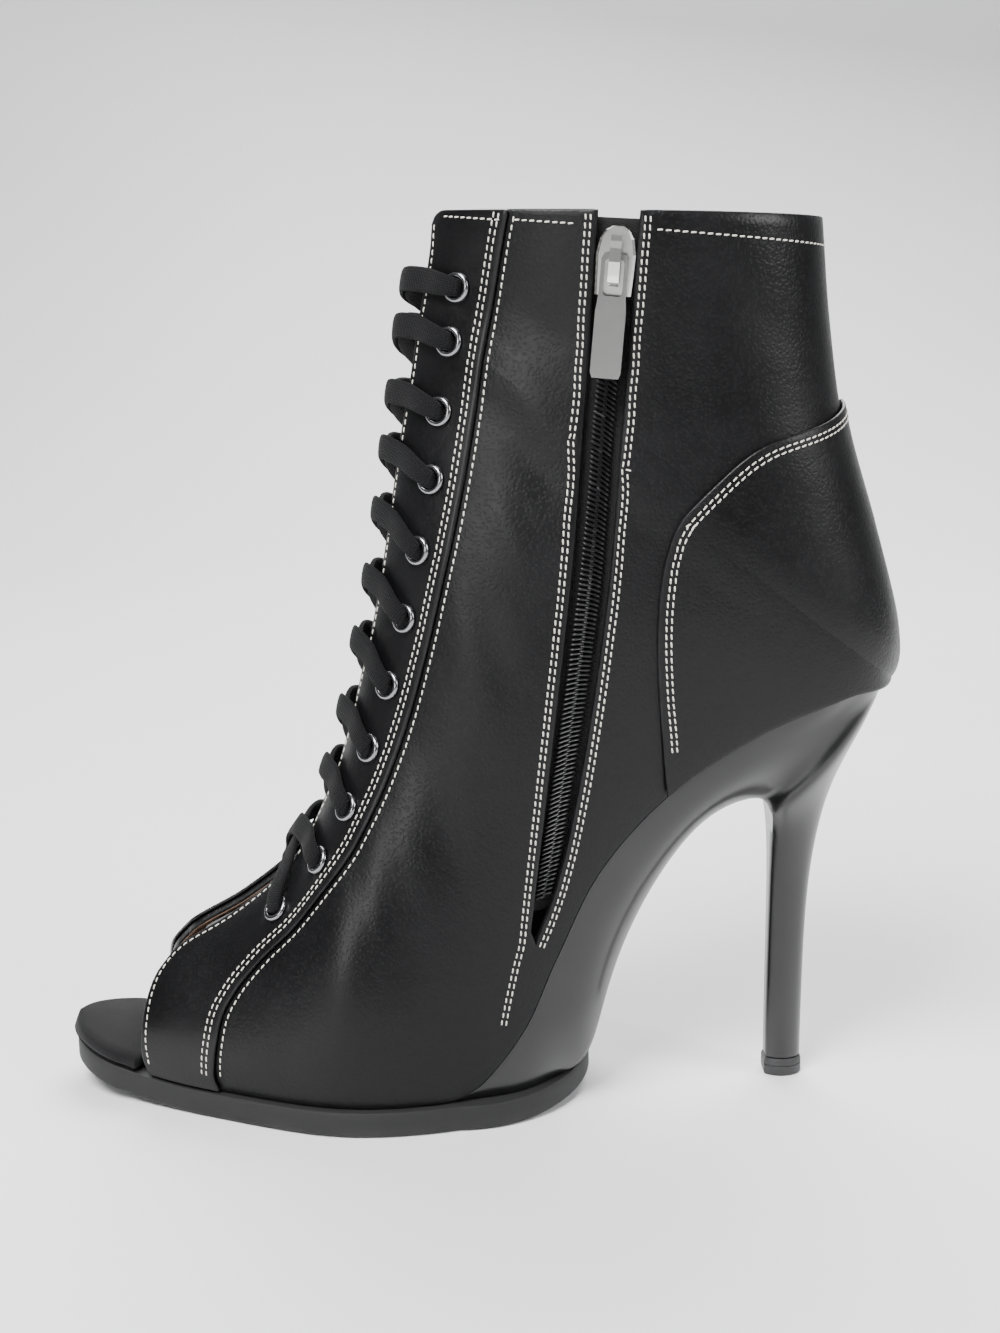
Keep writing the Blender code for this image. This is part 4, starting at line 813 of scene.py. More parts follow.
@dataclass
class Skin:
    """Points, faces, numbers on points and material numbers gathered for one piece."""

    WELD_CELLS: ClassVar[float] = 2e5  # to the metre, when a wall's seams are closed
    SAME_POINT: ClassVar[float] = 1e-6
    NO_LENGTH: ClassVar[float] = 1e-7

    points: list[Array] = field(default_factory=list)
    faces: list[Array] = field(default_factory=list)
    kinds: list[Array] = field(default_factory=list)
    values: list[dict[str, Array]] = field(default_factory=list)

    def count(self) -> int:
        """Number of points so far."""
        return sum(len(p) for p in self.points)

    def add(self, points: Array, faces: Array, kind: Any = 0, **values: Any) -> "Skin":
        """Gather one more body.

        Args:
            points: array of points, in any grid shape.
            faces: quads that count from the body's first point.
            kind: material number, one for the body or one for each face.
            values: numbers on the points, by name.

        Returns:
            This skin.
        """
        points = np.asarray(points, float).reshape(-1, 3)
        self.faces.append(np.asarray(faces) + self.count())
        self.points.append(points)
        self.kinds.append(np.broadcast_to(np.asarray(kind), len(faces)))
        self.values.append({k: np.broadcast_to(np.asarray(v, float), len(points))
                            if np.ndim(v) == 0 else np.asarray(v, float).reshape(-1)
                            for k, v in values.items()})
        return self

    def tube(self, rings: Array, kind: int = 0, **values: Any) -> "Skin":
        """Closed body through rings of points, with a fan from a middle point at both ends."""
        rows, columns = rings.shape[:2]
        middles = np.stack([rings[0].mean(0), rings[-1].mean(0)])
        ends = rows * columns
        here, ahead = np.arange(columns), (np.arange(columns) + 1) % columns
        caps = [np.stack([np.full(columns, ends), here, ahead, ahead], -1),
                np.stack([np.full(columns, ends + 1), here + ends - columns,
                          ahead + ends - columns, ahead + ends - columns], -1)]
        full = {k: np.concatenate([np.broadcast_to(v, (rows, columns)).reshape(-1),
                                   np.broadcast_to(v, (rows, columns))[[0, -1], 0]])
                for k, v in values.items()}
        return self.add(np.concatenate([rings.reshape(-1, 3), middles]),
                        np.concatenate([quads(rows, columns, wrap=True), *caps]), kind, **full)

    def wall(self, outer: Array, inner: Array, faces: Array, roll: float = 0.6, steps: int = 4,
             inside: int = 0) -> "Skin":
        """Closed wall between two faces, with rolled rims.

        Each rim runs from the outer to the inner boundary on half an ellipse: the cosine
        of the angle goes across the wall and the sine goes out of it.

        Args:
            outer: outer points.
            inner: inner points in the same order.
            faces: quads of the outer points; the inner face is the same, reversed.
            roll: how far the rim stands out, as a share of half the wall.
            steps: cells round the rim.
            inside: material number of the inner face.

        Returns:
            This skin.
        """
        outer, inner = outer.reshape(-1, 3), inner.reshape(-1, 3)
        key = np.round(outer * self.WELD_CELLS).astype(np.int64)
        _, first, back = np.unique(key, axis=0, return_index=True, return_inverse=True)
        outer, inner, faces = outer[first], inner[first], back.reshape(-1)[faces]
        runs = np.concatenate([faces[:, [k, (k + 1) % 4]] for k in range(4)])
        runs = runs[runs[:, 0] != runs[:, 1]]
        _, index, times = np.unique(np.sort(runs, 1), axis=0, return_index=True,
                                    return_counts=True)
        runs = runs[index[times == 1]]
        thick = (outer - inner) / 2
        out = np.zeros_like(outer)
        aside = np.cross(outer[runs[:, 1]] - outer[runs[:, 0]], thick[runs[:, 0]])
        np.add.at(out, runs[:, 0], unit(aside))
        np.add.at(out, runs[:, 1], unit(aside))
        rim = np.unique(runs)
        number = np.full(len(outer), -1)
        number[rim] = np.arange(len(rim))
        angle = even(0, math.pi, steps + 1)[1:-1, None, None]
        half = np.linalg.norm(thick[rim], axis=-1, keepdims=True)
        loops = ((outer + inner)[rim] / 2 + thick[rim] * np.cos(angle)
                 + unit(out[rim]) * half * roll * np.sin(angle))
        total = len(outer)
        rows = [np.arange(total), *(2 * total + k * len(rim) + number for k in range(steps - 1)),
                np.arange(total) + total]
        rims = [np.stack([a[runs[:, 1]], a[runs[:, 0]], b[runs[:, 0]], b[runs[:, 1]]], -1)
                for a, b in zip(rows, rows[1:])]
        kinds = np.concatenate([np.zeros(len(faces), int), np.full(len(faces), inside),
                                *(np.full(len(r), 0 if k < steps - 1 else inside)
                                  for k, r in enumerate(rims))])
        edge = np.zeros(2 * total + len(rim) * (steps - 1))
        edge[rim], edge[2 * total:] = 0.7, 1.0
        return self.add(np.concatenate([outer, inner, loops.reshape(-1, 3)]),
                        np.concatenate([faces, faces[:, ::-1] + total, *rims]), kinds, rim=edge)

    def build(self, name: str, materials: Sequence[bpy.types.Material], body: str = BOOT,
              stands_for: Sequence[str] = (), sharp: float = 50.0) -> bpy.types.Object:
        """Make the object.

        Args:
            name: name of the object.
            materials: its materials, in the order of the material numbers.
            body: body that it rides on.
            stands_for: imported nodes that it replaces.
            sharp: angle over which an edge stays sharp, in degrees.

        Returns:
            The object, with its place in its mesh.
        """
        mesh = bpy.data.meshes.new(name)
        faces, kinds = np.concatenate(self.faces), np.concatenate(self.kinds)
        same = faces == np.roll(faces, -1, axis=1)
        whole = same.sum(1)
        crossed = (faces[:, 0] == faces[:, 2]) | (faces[:, 1] == faces[:, 3])
        four, three = (whole == 0) & ~crossed, (whole == 1) & ~crossed
        mesh.from_pydata(np.concatenate(self.points).tolist(), [], faces[four].tolist()
                         + faces[three][~same[three]].reshape(-1, 3).tolist())
        kinds = np.concatenate([kinds[four], kinds[three]])
        for key in sorted({k for v in self.values for k in v}):
            data = np.concatenate([v.get(key, np.zeros(len(p)))
                                   for v, p in zip(self.values, self.points)])
            mesh.attributes.new(key, "FLOAT", "POINT").data.foreach_set("value", data)
        mesh.polygons.foreach_set("material_index", kinds.astype(np.int32))
        work = bmesh.new()
        work.from_mesh(mesh)
        bmesh.ops.remove_doubles(work, verts=work.verts, dist=self.SAME_POINT)
        bmesh.ops.dissolve_degenerate(work, edges=work.edges, dist=self.NO_LENGTH)
        bmesh.ops.recalc_face_normals(work, faces=work.faces)
        work.to_mesh(mesh)
        work.free()
        mesh.shade_smooth()
        mesh.set_sharp_from_angle(angle=math.radians(sharp))
        for material in materials:
            mesh.materials.append(material)
        thing = bpy.data.objects.new(name, mesh)
        bpy.context.scene.collection.objects.link(thing)
        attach(thing, body)
        if stands_for:
            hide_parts(*stands_for)
        LOG.info("%s: %d faces", name, len(mesh.polygons))
        return thing


# ---------------------------------------------------------------- ribs of the upper


@dataclass(frozen=True)
class Ribs:
    """Lines across the upper and the places where they meet its seams and edges."""

    last: Last = LAST
    # station and turn, from the collar down
    facing_seam: tuple = (
        (18, 0.291), (16, 0.268), (14, 0.246), (12.4, 0.241), (10.8, 0.264), (9.6, 0.296),
        (8.4, 0.298), (7.2, 0.281), (6, 0.279), (5, 0.269),
    )
    # station and share of turn at the toe edge, station and turn at the seam, foot station
    toe_ribs: tuple = (
        (5, 0, 5, 0.269, 5), (4.1, 0, 4.15, 0.273, 4.4), (3.2, 0, 3.35, 0.28, 3.95),
        (2.3, 0, 2.75, 0.3, 3.55), (1.55, 0, 2.36, 0.341, 3.2), (1, 0.23, 2.14, 0.386, 2.95),
        (0.72, 0.34, 2.03, 0.43, 2.7), (0.62, 0.5, 2, 0.485, 2.5), (0.6, 0.66, 2, 0.535, 2.35),
        (0.66, 0.84, 2.03, 0.59, 2.22), (0.9, 1, 2.15, 0.631, 2.15),
    )
    counter_edge: tuple = (
        (15.3, 0.655), (14.6, 0.584), (13.5, 0.527), (12.4, 0.511), (11.7, 0.507), (11.2, 0.529),
        (10.8, 0.565), (10.4, 0.623), (10.1, 0.686), (9.88, 0.757),
    )
    # station and turn of the front edge, then of the rear edge
    zip_slot: tuple = (
        (18.3, 0.443, 18.3, 0.512), (17, 0.431, 17, 0.5), (15.8, 0.417, 15.8, 0.476),
        (14.4, 0.395, 14.4, 0.444), (13, 0.383, 13.2, 0.436), (11.9, 0.395, 12, 0.443),
        (11, 0.429, 11.2, 0.474), (10, 0.496, 10.35, 0.531), (9.3, 0.549, 9.8, 0.582),
        (8.7, 0.582, 9.2, 0.629), (8.2, 0.596, 8.65, 0.657), (7.85, 0.606, 8.22, 0.652),
        (7.66, 0.612, 7.76, 0.626),
    )
    counter_top: float = 16.2
    counter_bend: float = 1.6
    collar_zone: float = 17.1
    seat_front: float = 11.0
    below_collar: float = 0.05
    slot_end: float = 7.72
    overlay_lift: float = 0.0010
    facing_cells: int = 24
    side_cells: tuple[int, int, int] = (24, 3, 14)
    counter_cells: int = 18

    @cached_property
    def soft_counter(self) -> Array:
        """Front edge of the counter without corners, from its upper end down."""
        table = np.array(self.counter_edge)
        dense = softened(rows_curve(table, even(0, len(table) - 1, 181)), 12.0)
        return self.last.settled(dense, Side.INNER, 20.0)

    @cached_property
    def soft_slot(self) -> Array:
        """Edges of the zip's slot without waves, from the collar down."""
        table = np.array(self.zip_slot)
        dense = softened(rows_curve(table, even(0, len(table) - 1, 241)), 16.0)
        for column in (0, 2):
            low = dense[:, column] < self.last.top - self.below_collar
            path = dense[low][:, column:column + 2]
            dense[low, column:column + 2] = self.last.settled(path, Side.INNER, 30.0)
        return dense

    def soft_seam(self, side: Side) -> Array:
        """Rear edge of the facing without waves, from the collar down."""
        table = np.array(self.facing_seam)
        dense = rows_curve(table, even(0, len(table) - 1, 181))
        low = dense[:, 0] < self.last.top - self.below_collar
        dense[low] = self.last.settled(dense[low], side, 20.0)
        return dense

    def slot_row(self, row: Any) -> Array:
        """Stations and turns of both edges of the slot at a row."""
        return rows_curve(self.soft_slot, np.asarray(row, float) * 20)

    def places(self, side: Side) -> Array:
        """Places of each rib on the throat, the seam, the counter's edge and the foot."""
        last = self.last
        seam, counter = self.soft_seam(side)[::-1], self.soft_counter[::-1]
        seat = self.seat_front + (last.heel_station - self.seat_front) * np.sin(
            even(0, math.pi / 2, 22))
        level = np.concatenate([even(last.top, self.collar_zone, 10),
                                even(self.collar_zone, self.counter_top, 9)[1:],
                                even(self.counter_top, last.heel_station, 34)[1:],
                                seat[:-1][::-1], even(self.seat_front, counter[0, 0], 14)[1:],
                                even(counter[0, 0], self.toe_ribs[0][0], 66)[1:-1]])
        sink = np.interp(level, (last.heel_station, self.counter_top, last.top), (0, 1, 0))
        drop = self.counter_top - counter[-1, 0]
        front = level - sink * drop / 2
        toe = rows_curve(self.toe_ribs, even(0, len(self.toe_ribs) - 1, 66))
        station = np.concatenate([front, toe[:, 0]])
        share = np.concatenate([np.zeros_like(front), toe[:, 1]])
        turn = np.maximum(last.throat_turn(station, side), share * last.edge_turn(station, side))
        seam_station = np.concatenate([front, toe[:, 2]])
        seam_turn = np.concatenate([np.interp(front, seam[:, 0], seam[:, 1]), toe[:, 3]])
        seam_turn[-1] = last.edge_turn(seam_station[-1], side)
        foot_station = np.concatenate([level, toe[:, 4]])
        foot_turn = last.edge_turn(foot_station, side)
        corner = foot_station - np.concatenate([sink, 0 * toe[:, 4]]) * drop
        edge = np.interp(corner, counter[:, 0], counter[:, 1])
        edge = np.where(foot_station >= counter[0, 0], np.minimum(edge, foot_turn), foot_turn)
        return np.stack([np.stack([station, turn], -1), np.stack([seam_station, seam_turn], -1),
                         np.stack([corner, edge], -1), np.stack([foot_station, foot_turn], -1)], 1)

    def span(self, start: Array, end: Array, shares: Array, side: Side,
             bend: float = 1.0) -> Array:
        """Places between two ends of each rib, by shares of each section's whole turn."""
        last, v = self.last, np.atleast_2d(shares)
        station = start[:, :1] + (end[:, :1] - start[:, :1]) * (1 - (1 - v)**bend)
        first = start[:, 1:] / last.edge_turn(start[:, :1], side)
        final = end[:, 1:] / last.edge_turn(end[:, :1], side)
        return np.stack([station, (first + (final - first) * v)
                         * last.edge_turn(station, side)], -1)

    def round_collar(self, place: Array, side: Side) -> Array:
        """Lower the corner of the collar at the throat, less and less down its zone."""
        arc = run_length(self.last.at(place[0], side))
        share = np.clip((place[..., 0] - self.collar_zone)
                        / (place[0, :, 0] - self.collar_zone), 0, 1)
        place = place.copy()
        place[..., 0] -= share * (self.last.top - self.last.collar_station(arc))
        return place

    def slot_shares(self, seam: Array, counter: Array) -> tuple[Array, Array]:
        """Shares of the side span at both edges of the zip's slot, and which ribs it opens."""
        v = even(0, 1, 500)
        place = self.span(seam, counter, v, Side.INNER)
        slot = self.soft_slot[::-1]
        edges, opened = [], []
        for column in (0, 2):
            over = place[..., 1] - np.interp(place[..., 0], slot[:, column], slot[:, column + 1])
            k = np.maximum(np.argmax(over > 0, axis=1), 1)
            row = np.arange(len(k))
            low, high = over[row, k - 1], over[row, k]
            share = v[k - 1] - low / np.where(high == low, 1, high - low) * (v[1] - v[0])
            good = (over > 0).any(1) & (place[row, k, 0] > self.slot_end)
            edges.append(np.interp(row, row[good], share[good]))
            opened.append(good)
        return np.stack(edges, 1), opened[0] & opened[1]

    def upper(self, side: Side) -> tuple[Array, Array]:
        """Places of the upper's grid, and which cells are there."""
        throat, seam, counter, foot = np.moveaxis(self.places(side), 1, 0)
        a, b, c = self.side_cells
        first = self.facing_cells
        if side is Side.INNER:
            edges, opened = self.slot_shares(seam, counter)
            front, rear = edges[:, :1], edges[:, 1:]
            shares = np.concatenate([front * even(0, 1, a + 1), front + (rear - front)
                                     * even(0, 1, b + 1)[1:], rear + (1 - rear)
                                     * even(0, 1, c + 1)[1:]], 1)
        else:
            opened = np.zeros(len(throat), bool)
            shares = even(0, 1, a + b + c + 1)
        place = np.concatenate([
            self.span(throat, seam, even(0, 1, first + 1), side),
            self.span(seam, counter, shares, side)[:, 1:],
            self.span(counter, foot, even(0, 1, self.counter_cells + 1), side,
                      self.counter_bend)[:, 1:]], 1)
        keep = np.ones((place.shape[0] - 1, place.shape[1] - 1), bool)
        keep[:, first + a:first + a + b] = ~(opened[:-1] & opened[1:])[:, None]
        return self.round_collar(place, side), keep

    def above_edge(self, station: Array, side: Side) -> Array:
        """Turn a little above the feather line, or on the back seam."""
        end, step = self.last.edge_turn(station, side), 0.02
        reach = np.linalg.norm(self.last.point(station, end, side)
                               - self.last.point(station, end - step, side), axis=-1)
        return np.where(station < self.last.heel_station, end - step * self.overlay_lift / reach,
                        end)

    def facing(self, side: Side) -> Array:
        """Places of a facing's grid."""
        throat, seam, *_ = np.moveaxis(self.places(side), 1, 0)
        place = self.round_collar(self.span(throat, seam, even(0, 1, 29), side), side)
        place[-1, :, 1] = np.minimum(place[-1, :, 1], self.above_edge(place[-1, :, 0], side))
        return place

    def counter(self, side: Side) -> Array:
        """Places of the heel counter's grid."""
        *_, counter, foot = np.moveaxis(self.places(side), 1, 0)
        heel = (foot[:, 0] >= self.soft_counter[-1, 0]) & (foot[:, 0] <= self.counter_top)
        foot[:, 1] = self.above_edge(foot[:, 0], side)
        counter[:, 1] = np.minimum(counter[:, 1], foot[:, 1])
        place = self.span(counter[heel], foot[heel], even(0, 1, 2 * self.counter_cells + 1), side,
                          self.counter_bend)
        edge, columns = self.counter_line(place), place.shape[1]
        shift = self.last.settled(edge, side, 9.0) - edge
        shift[0] = 0
        top, front = shift[:columns][::-1], shift[columns - 1:]
        down = np.clip(1 - np.arange(len(place)) / self.counter_cells, 0, 1)[:, None, None]
        back = np.clip(1 - np.arange(columns) / self.counter_cells, 0, 1)[None, :, None]
        return place + down * top[None] + back * front[:, None] - down * back * top[0]

    @staticmethod
    def counter_line(place: Array) -> Array:
        """Edge of the counter's grid, from the back seam round the corner and down."""
        return np.concatenate([place[0, ::-1], place[1:, 0]])

    def slot(self, row: Any, across: Any, lift: Any) -> Array:
        """Points in the slot, 0 at its front edge to 1 at its rear edge."""
        place = self.slot_row(row)
        station = place[..., 0] + (place[..., 2] - place[..., 0]) * across
        turn = place[..., 1] + (place[..., 3] - place[..., 1]) * across
        return self.last.lifted(station, turn, Side.INNER, lift)

    def slot_width(self, row: Array) -> Array:
        """Width of the slot at a row."""
        ones = np.ones_like(row)
        return np.linalg.norm(self.slot(row, ones, 0) - self.slot(row, 0 * ones, 0), axis=-1)


RIBS = Ribs()


# ---------------------------------------------------------------- folds and eyelet places


@dataclass(frozen=True)
class Fold:
    """One soft trough or ridge between two places, in millimetres across and deep."""

    side: Side
    start: tuple[float, float]
    end: tuple[float, float]
    depth: float
    width: float
    sag: float = 0.0

    def height(self, points: Array) -> Array:
        """Lift at each point: a bell of the distance to the line, fading at both ends."""
        v = even(0, 1, 25)
        station = self.start[0] + (self.end[0] - self.start[0]) * v
        turn = self.start[1] + (self.end[1] - self.start[1]) * v + self.sag * np.sin(v * math.pi)
        line = LAST.point(station, turn, self.side)
        apart = np.linalg.norm(points[:, None] - line[None], axis=-1)
        near = apart.argmin(1)
        fade = np.sin(np.clip(v[near], 0.04, 0.96) * math.pi)**0.6
        return -self.depth * MM * fade * np.exp(-(apart.min(1) / (self.width * MM))**2)


@dataclass(frozen=True)
class Folds:
    """Creases of the empty boot: at the ankle's bend, over the instep and at the ball."""

    folds: tuple[Fold, ...] = tuple(Fold(side, *fold) for side, folds in (
        (Side.INNER, (
            ((11.6, 0.3), (11.2, 0.4), 0.55, 4.5, 0.01), ((10.6, 0.31), (10.2, 0.42), -0.35, 4),
            ((9.4, 0.34), (8.9, 0.47), 0.5, 5, 0.02), ((15.6, 0.3), (14.9, 0.38), 0.4, 5.5),
            ((13.2, 0.28), (12.8, 0.36), -0.3, 5), ((7.2, 0.34), (6.5, 0.5), 0.45, 6, 0.02),
            ((5.6, 0.33), (5, 0.5), 0.45, 5, 0.02), ((4.6, 0.34), (3.9, 0.52), -0.3, 5, 0.02),
            ((3.4, 0.36), (3, 0.54), 0.3, 4), ((15.8, 0.56), (14.6, 0.54), 0.45, 5),
            ((17, 0.6), (16.6, 0.8), 0.35, 5),
        )),
        (Side.OUTER, (
            ((11.8, 0.3), (11.2, 0.46), 0.6, 4.5, 0.01), ((10.5, 0.32), (10, 0.5), -0.35, 4),
            ((9.3, 0.34), (8.6, 0.54), 0.55, 5, 0.02), ((14.8, 0.3), (14, 0.5), 0.4, 6),
            ((7, 0.34), (6.3, 0.52), 0.45, 6, 0.02), ((5.4, 0.33), (4.9, 0.52), 0.45, 5, 0.02),
            ((4.3, 0.34), (3.8, 0.52), -0.3, 5, 0.02), ((17, 0.45), (16.4, 0.7), 0.35, 5.5),
        )),
    ) for fold in folds)
    eyelets: tuple[tuple[float, float], ...] = (
        (14.75, 0.185), (12.75, 0.182), (10.93, 0.192), (9.83, 0.22), (8.75, 0.228), (7.75, 0.221),
        (6.7, 0.21), (5.72, 0.206), (4.78, 0.204), (3.83, 0.212), (2.8, 0.208),
    )
    eyelet_hole: float = 0.0030
    dimple: float = 0.32

    def relief(self, points: Array, side: Side) -> Array:
        """Sum of the folds' lifts at each point of a grid."""
        flat = points.reshape(-1, 3)
        total = sum((f.height(flat) for f in self.folds if f.side is side), np.zeros(len(flat)))
        return total.reshape(points.shape[:-1])

    def spots(self, side: Side) -> Array:
        """Eyelet centres on the last."""
        return LAST.at(np.array(self.eyelets), side)

    def puckers(self, points: Array, side: Side) -> Array:
        """Dents round the eyelets: a ring-shaped dip with a few radial gathers."""
        centre, normal = self.spots(side), LAST.normal(np.array(self.eyelets), side)
        apart = points[..., None, :] - centre
        flat = apart - (apart * normal).sum(-1, keepdims=True) * normal
        far = np.linalg.norm(flat, axis=-1) / MM
        angle = np.arctan2(flat[..., 2], flat[..., 0])
        phase = np.arange(len(centre)) * 1.7
        gather = 0.55 + 0.45 * np.cos(5 * angle + phase) * np.clip((far - 3.0) / 3.0, 0, 1)
        bell = np.exp(-(np.clip(far - 3.4, 0, None) / 2.6)**2) * self.dimple * gather
        return -bell.sum(-1) * MM

    def solid(self, points: Array, side: Side) -> Array:
        """Which cells of a grid lie outside the eyelets' holes."""
        middle = (points[:-1, :-1] + points[1:, 1:]) / 2
        apart = np.linalg.norm(middle[..., None, :] - self.spots(side), axis=-1)
        return (apart > self.eyelet_hole).all(-1)


FOLDS = Folds()


# ---------------------------------------------------------------- leather pieces


@dataclass
class Pattern:
    """A leather piece laid on the last between two lifts."""

    low: float
    high: float
    skin: Skin = field(default_factory=Skin)

    def lay(self, sheets: Sequence[tuple[Side, Array, Array | None]],
            relief: Callable[[Array, Side], Array] | None = None, inside: int = 0,
            roll: float = 0.6) -> Skin:
        """Lay grids of places on the last as one wall.

        Args:
            sheets: for each grid its side, its places and which cells are there.
            relief: extra lift of the outer face at points of the last.
            inside: material number of the inner face.
            roll: how far the rims stand out.

        Returns:
            The skin with the wall.
        """
        outer, inner, faces, first = [], [], [], 0
        for side, place, keep in sheets:
            base = LAST.over(place, side, 0)
            extra = 0 if relief is None else relief(base, side)
            outer.append(LAST.over(place, side, self.high + extra).reshape(-1, 3))
            inner.append(LAST.over(place, side, self.low + extra).reshape(-1, 3))
            cells = quads(*place.shape[:2], first)
            cells = cells if keep is None else cells[keep.reshape(-1)]
            faces.append(cells if side is Side.INNER else cells[:, ::-1])
            first += place.shape[0] * place.shape[1]
        return self.skin.wall(np.concatenate(outer), np.concatenate(inner),
                              np.concatenate(faces), roll, inside=inside)


@dataclass
class Upper:
    """Hollow upper with its lining, the facings and the heel counter."""

    wall: float = 0.0020
    overlay: float = 0.0010
    ease: float = 0.0002
    leather: Leather = Leather("boot_leather")
    smooth: Leather = Leather("facing_leather", (0.0030, 0.0030, 0.0034), 0.32, 0.0009, 0.00003,
                              0.2)
    lining: Lining = Lining()

    def build(self) -> None:
        """Build the upper and its overlays."""
        leather, lining = self.leather.material(), self.lining.material()
        sheets = []
        for side in Side:
            place, keep = RIBS.upper(side)
            sheets.append((side, place, keep & FOLDS.solid(LAST.over(place, side, 0), side)))
        Pattern(-self.wall, 0).lay(sheets, self._body_relief, 1, 0.4).build(
            "upper_leather", [leather, lining], stands_for=["upper"])
        facing = self.smooth.material()
        for side, node in ((Side.INNER, "facing_inner"), (Side.OUTER, "facing_outer")):
            place = RIBS.facing(side)
            whole = FOLDS.solid(LAST.over(place, side, 0), side)
            Pattern(LAST.clear, LAST.clear + self.overlay).lay(
                [(side, place, whole)], FOLDS.puckers).build(
                f"{node}_leather", [facing], stands_for=[node])
        low = LAST.clear + self.ease
        Pattern(low, low + self.overlay).lay([(s, RIBS.counter(s), None) for s in Side],
                                             roll=1.0).build(
            "counter_leather", [leather], stands_for=["heel_counter"])

    def _body_relief(self, points: Array, side: Side) -> Array:
        """Folds, and the dents under the eyelets."""
        return FOLDS.relief(points, side) + FOLDS.puckers(points, side)


@dataclass
class Tongue:
    """Satin tongue with small gathers, seen between the facings."""

    depth: float = 0.0027
    wall: float = 0.0012
    tuck: float = 0.0085
    end: float = 1.20
    below_collar: float = 0.25
    gather: float = 0.22 * MM
    half_columns: int = 18
    satin: Satin = Satin()

    def build(self) -> None:
        """Build the tongue as a closed wall from edge to edge."""
        station = RIBS.places(Side.INNER)[:, 0, 0]
        station = np.minimum(station[station > self.end], LAST.top - self.below_collar)
        station = np.unique(np.round(station, 7))[::-1]
        half = LAST.throat_gap / 2 + self.tuck
        inner = LAST.turn_at_half(station, half, Side.INNER)[:, None]
        outer = LAST.turn_at_half(station, half, Side.OUTER)[:, None]
        share = even(-1, 1, 2 * self.half_columns + 1)[None]
        turn = np.where(share < 0, inner, outer) * share
        place = station[:, None] + 0 * turn
        spot = LAST.signed(place, turn, 0)
        run = run_length(spot[:, self.half_columns]) / MM
        wave = (np.sin(run * 0.55) + 0.6 * np.sin(run * 0.93 + 1.2))[:, None]
        gather = -np.abs(wave) * self.gather * (0.35 + 0.65 * np.abs(share)**1.5)
        top = LAST.signed(place, turn, -self.depth + gather)
        low = LAST.signed(place, turn, -self.depth - self.wall + gather)
        skin = Skin().wall(top, low, quads(*place.shape))
        skin.values[-1].update(self._weave(top, skin.points[-1], run))
        skin.build("tongue_satin", [self.satin.material()], stands_for=["tongue"])

    def _weave(self, top: Array, points: Array, run: Array) -> dict[str, Array]:
        """Millimetres along and across, from the height and the side of each point."""
        height = top[:, self.half_columns, 2]
        order = np.argsort(height)
        along = np.interp(points[:, 2], height[order], run[order])
        return {"along": along, "across": (points[:, 1] - LAST.mid_y) / MM}


# ---------------------------------------------------------------- sole and heel


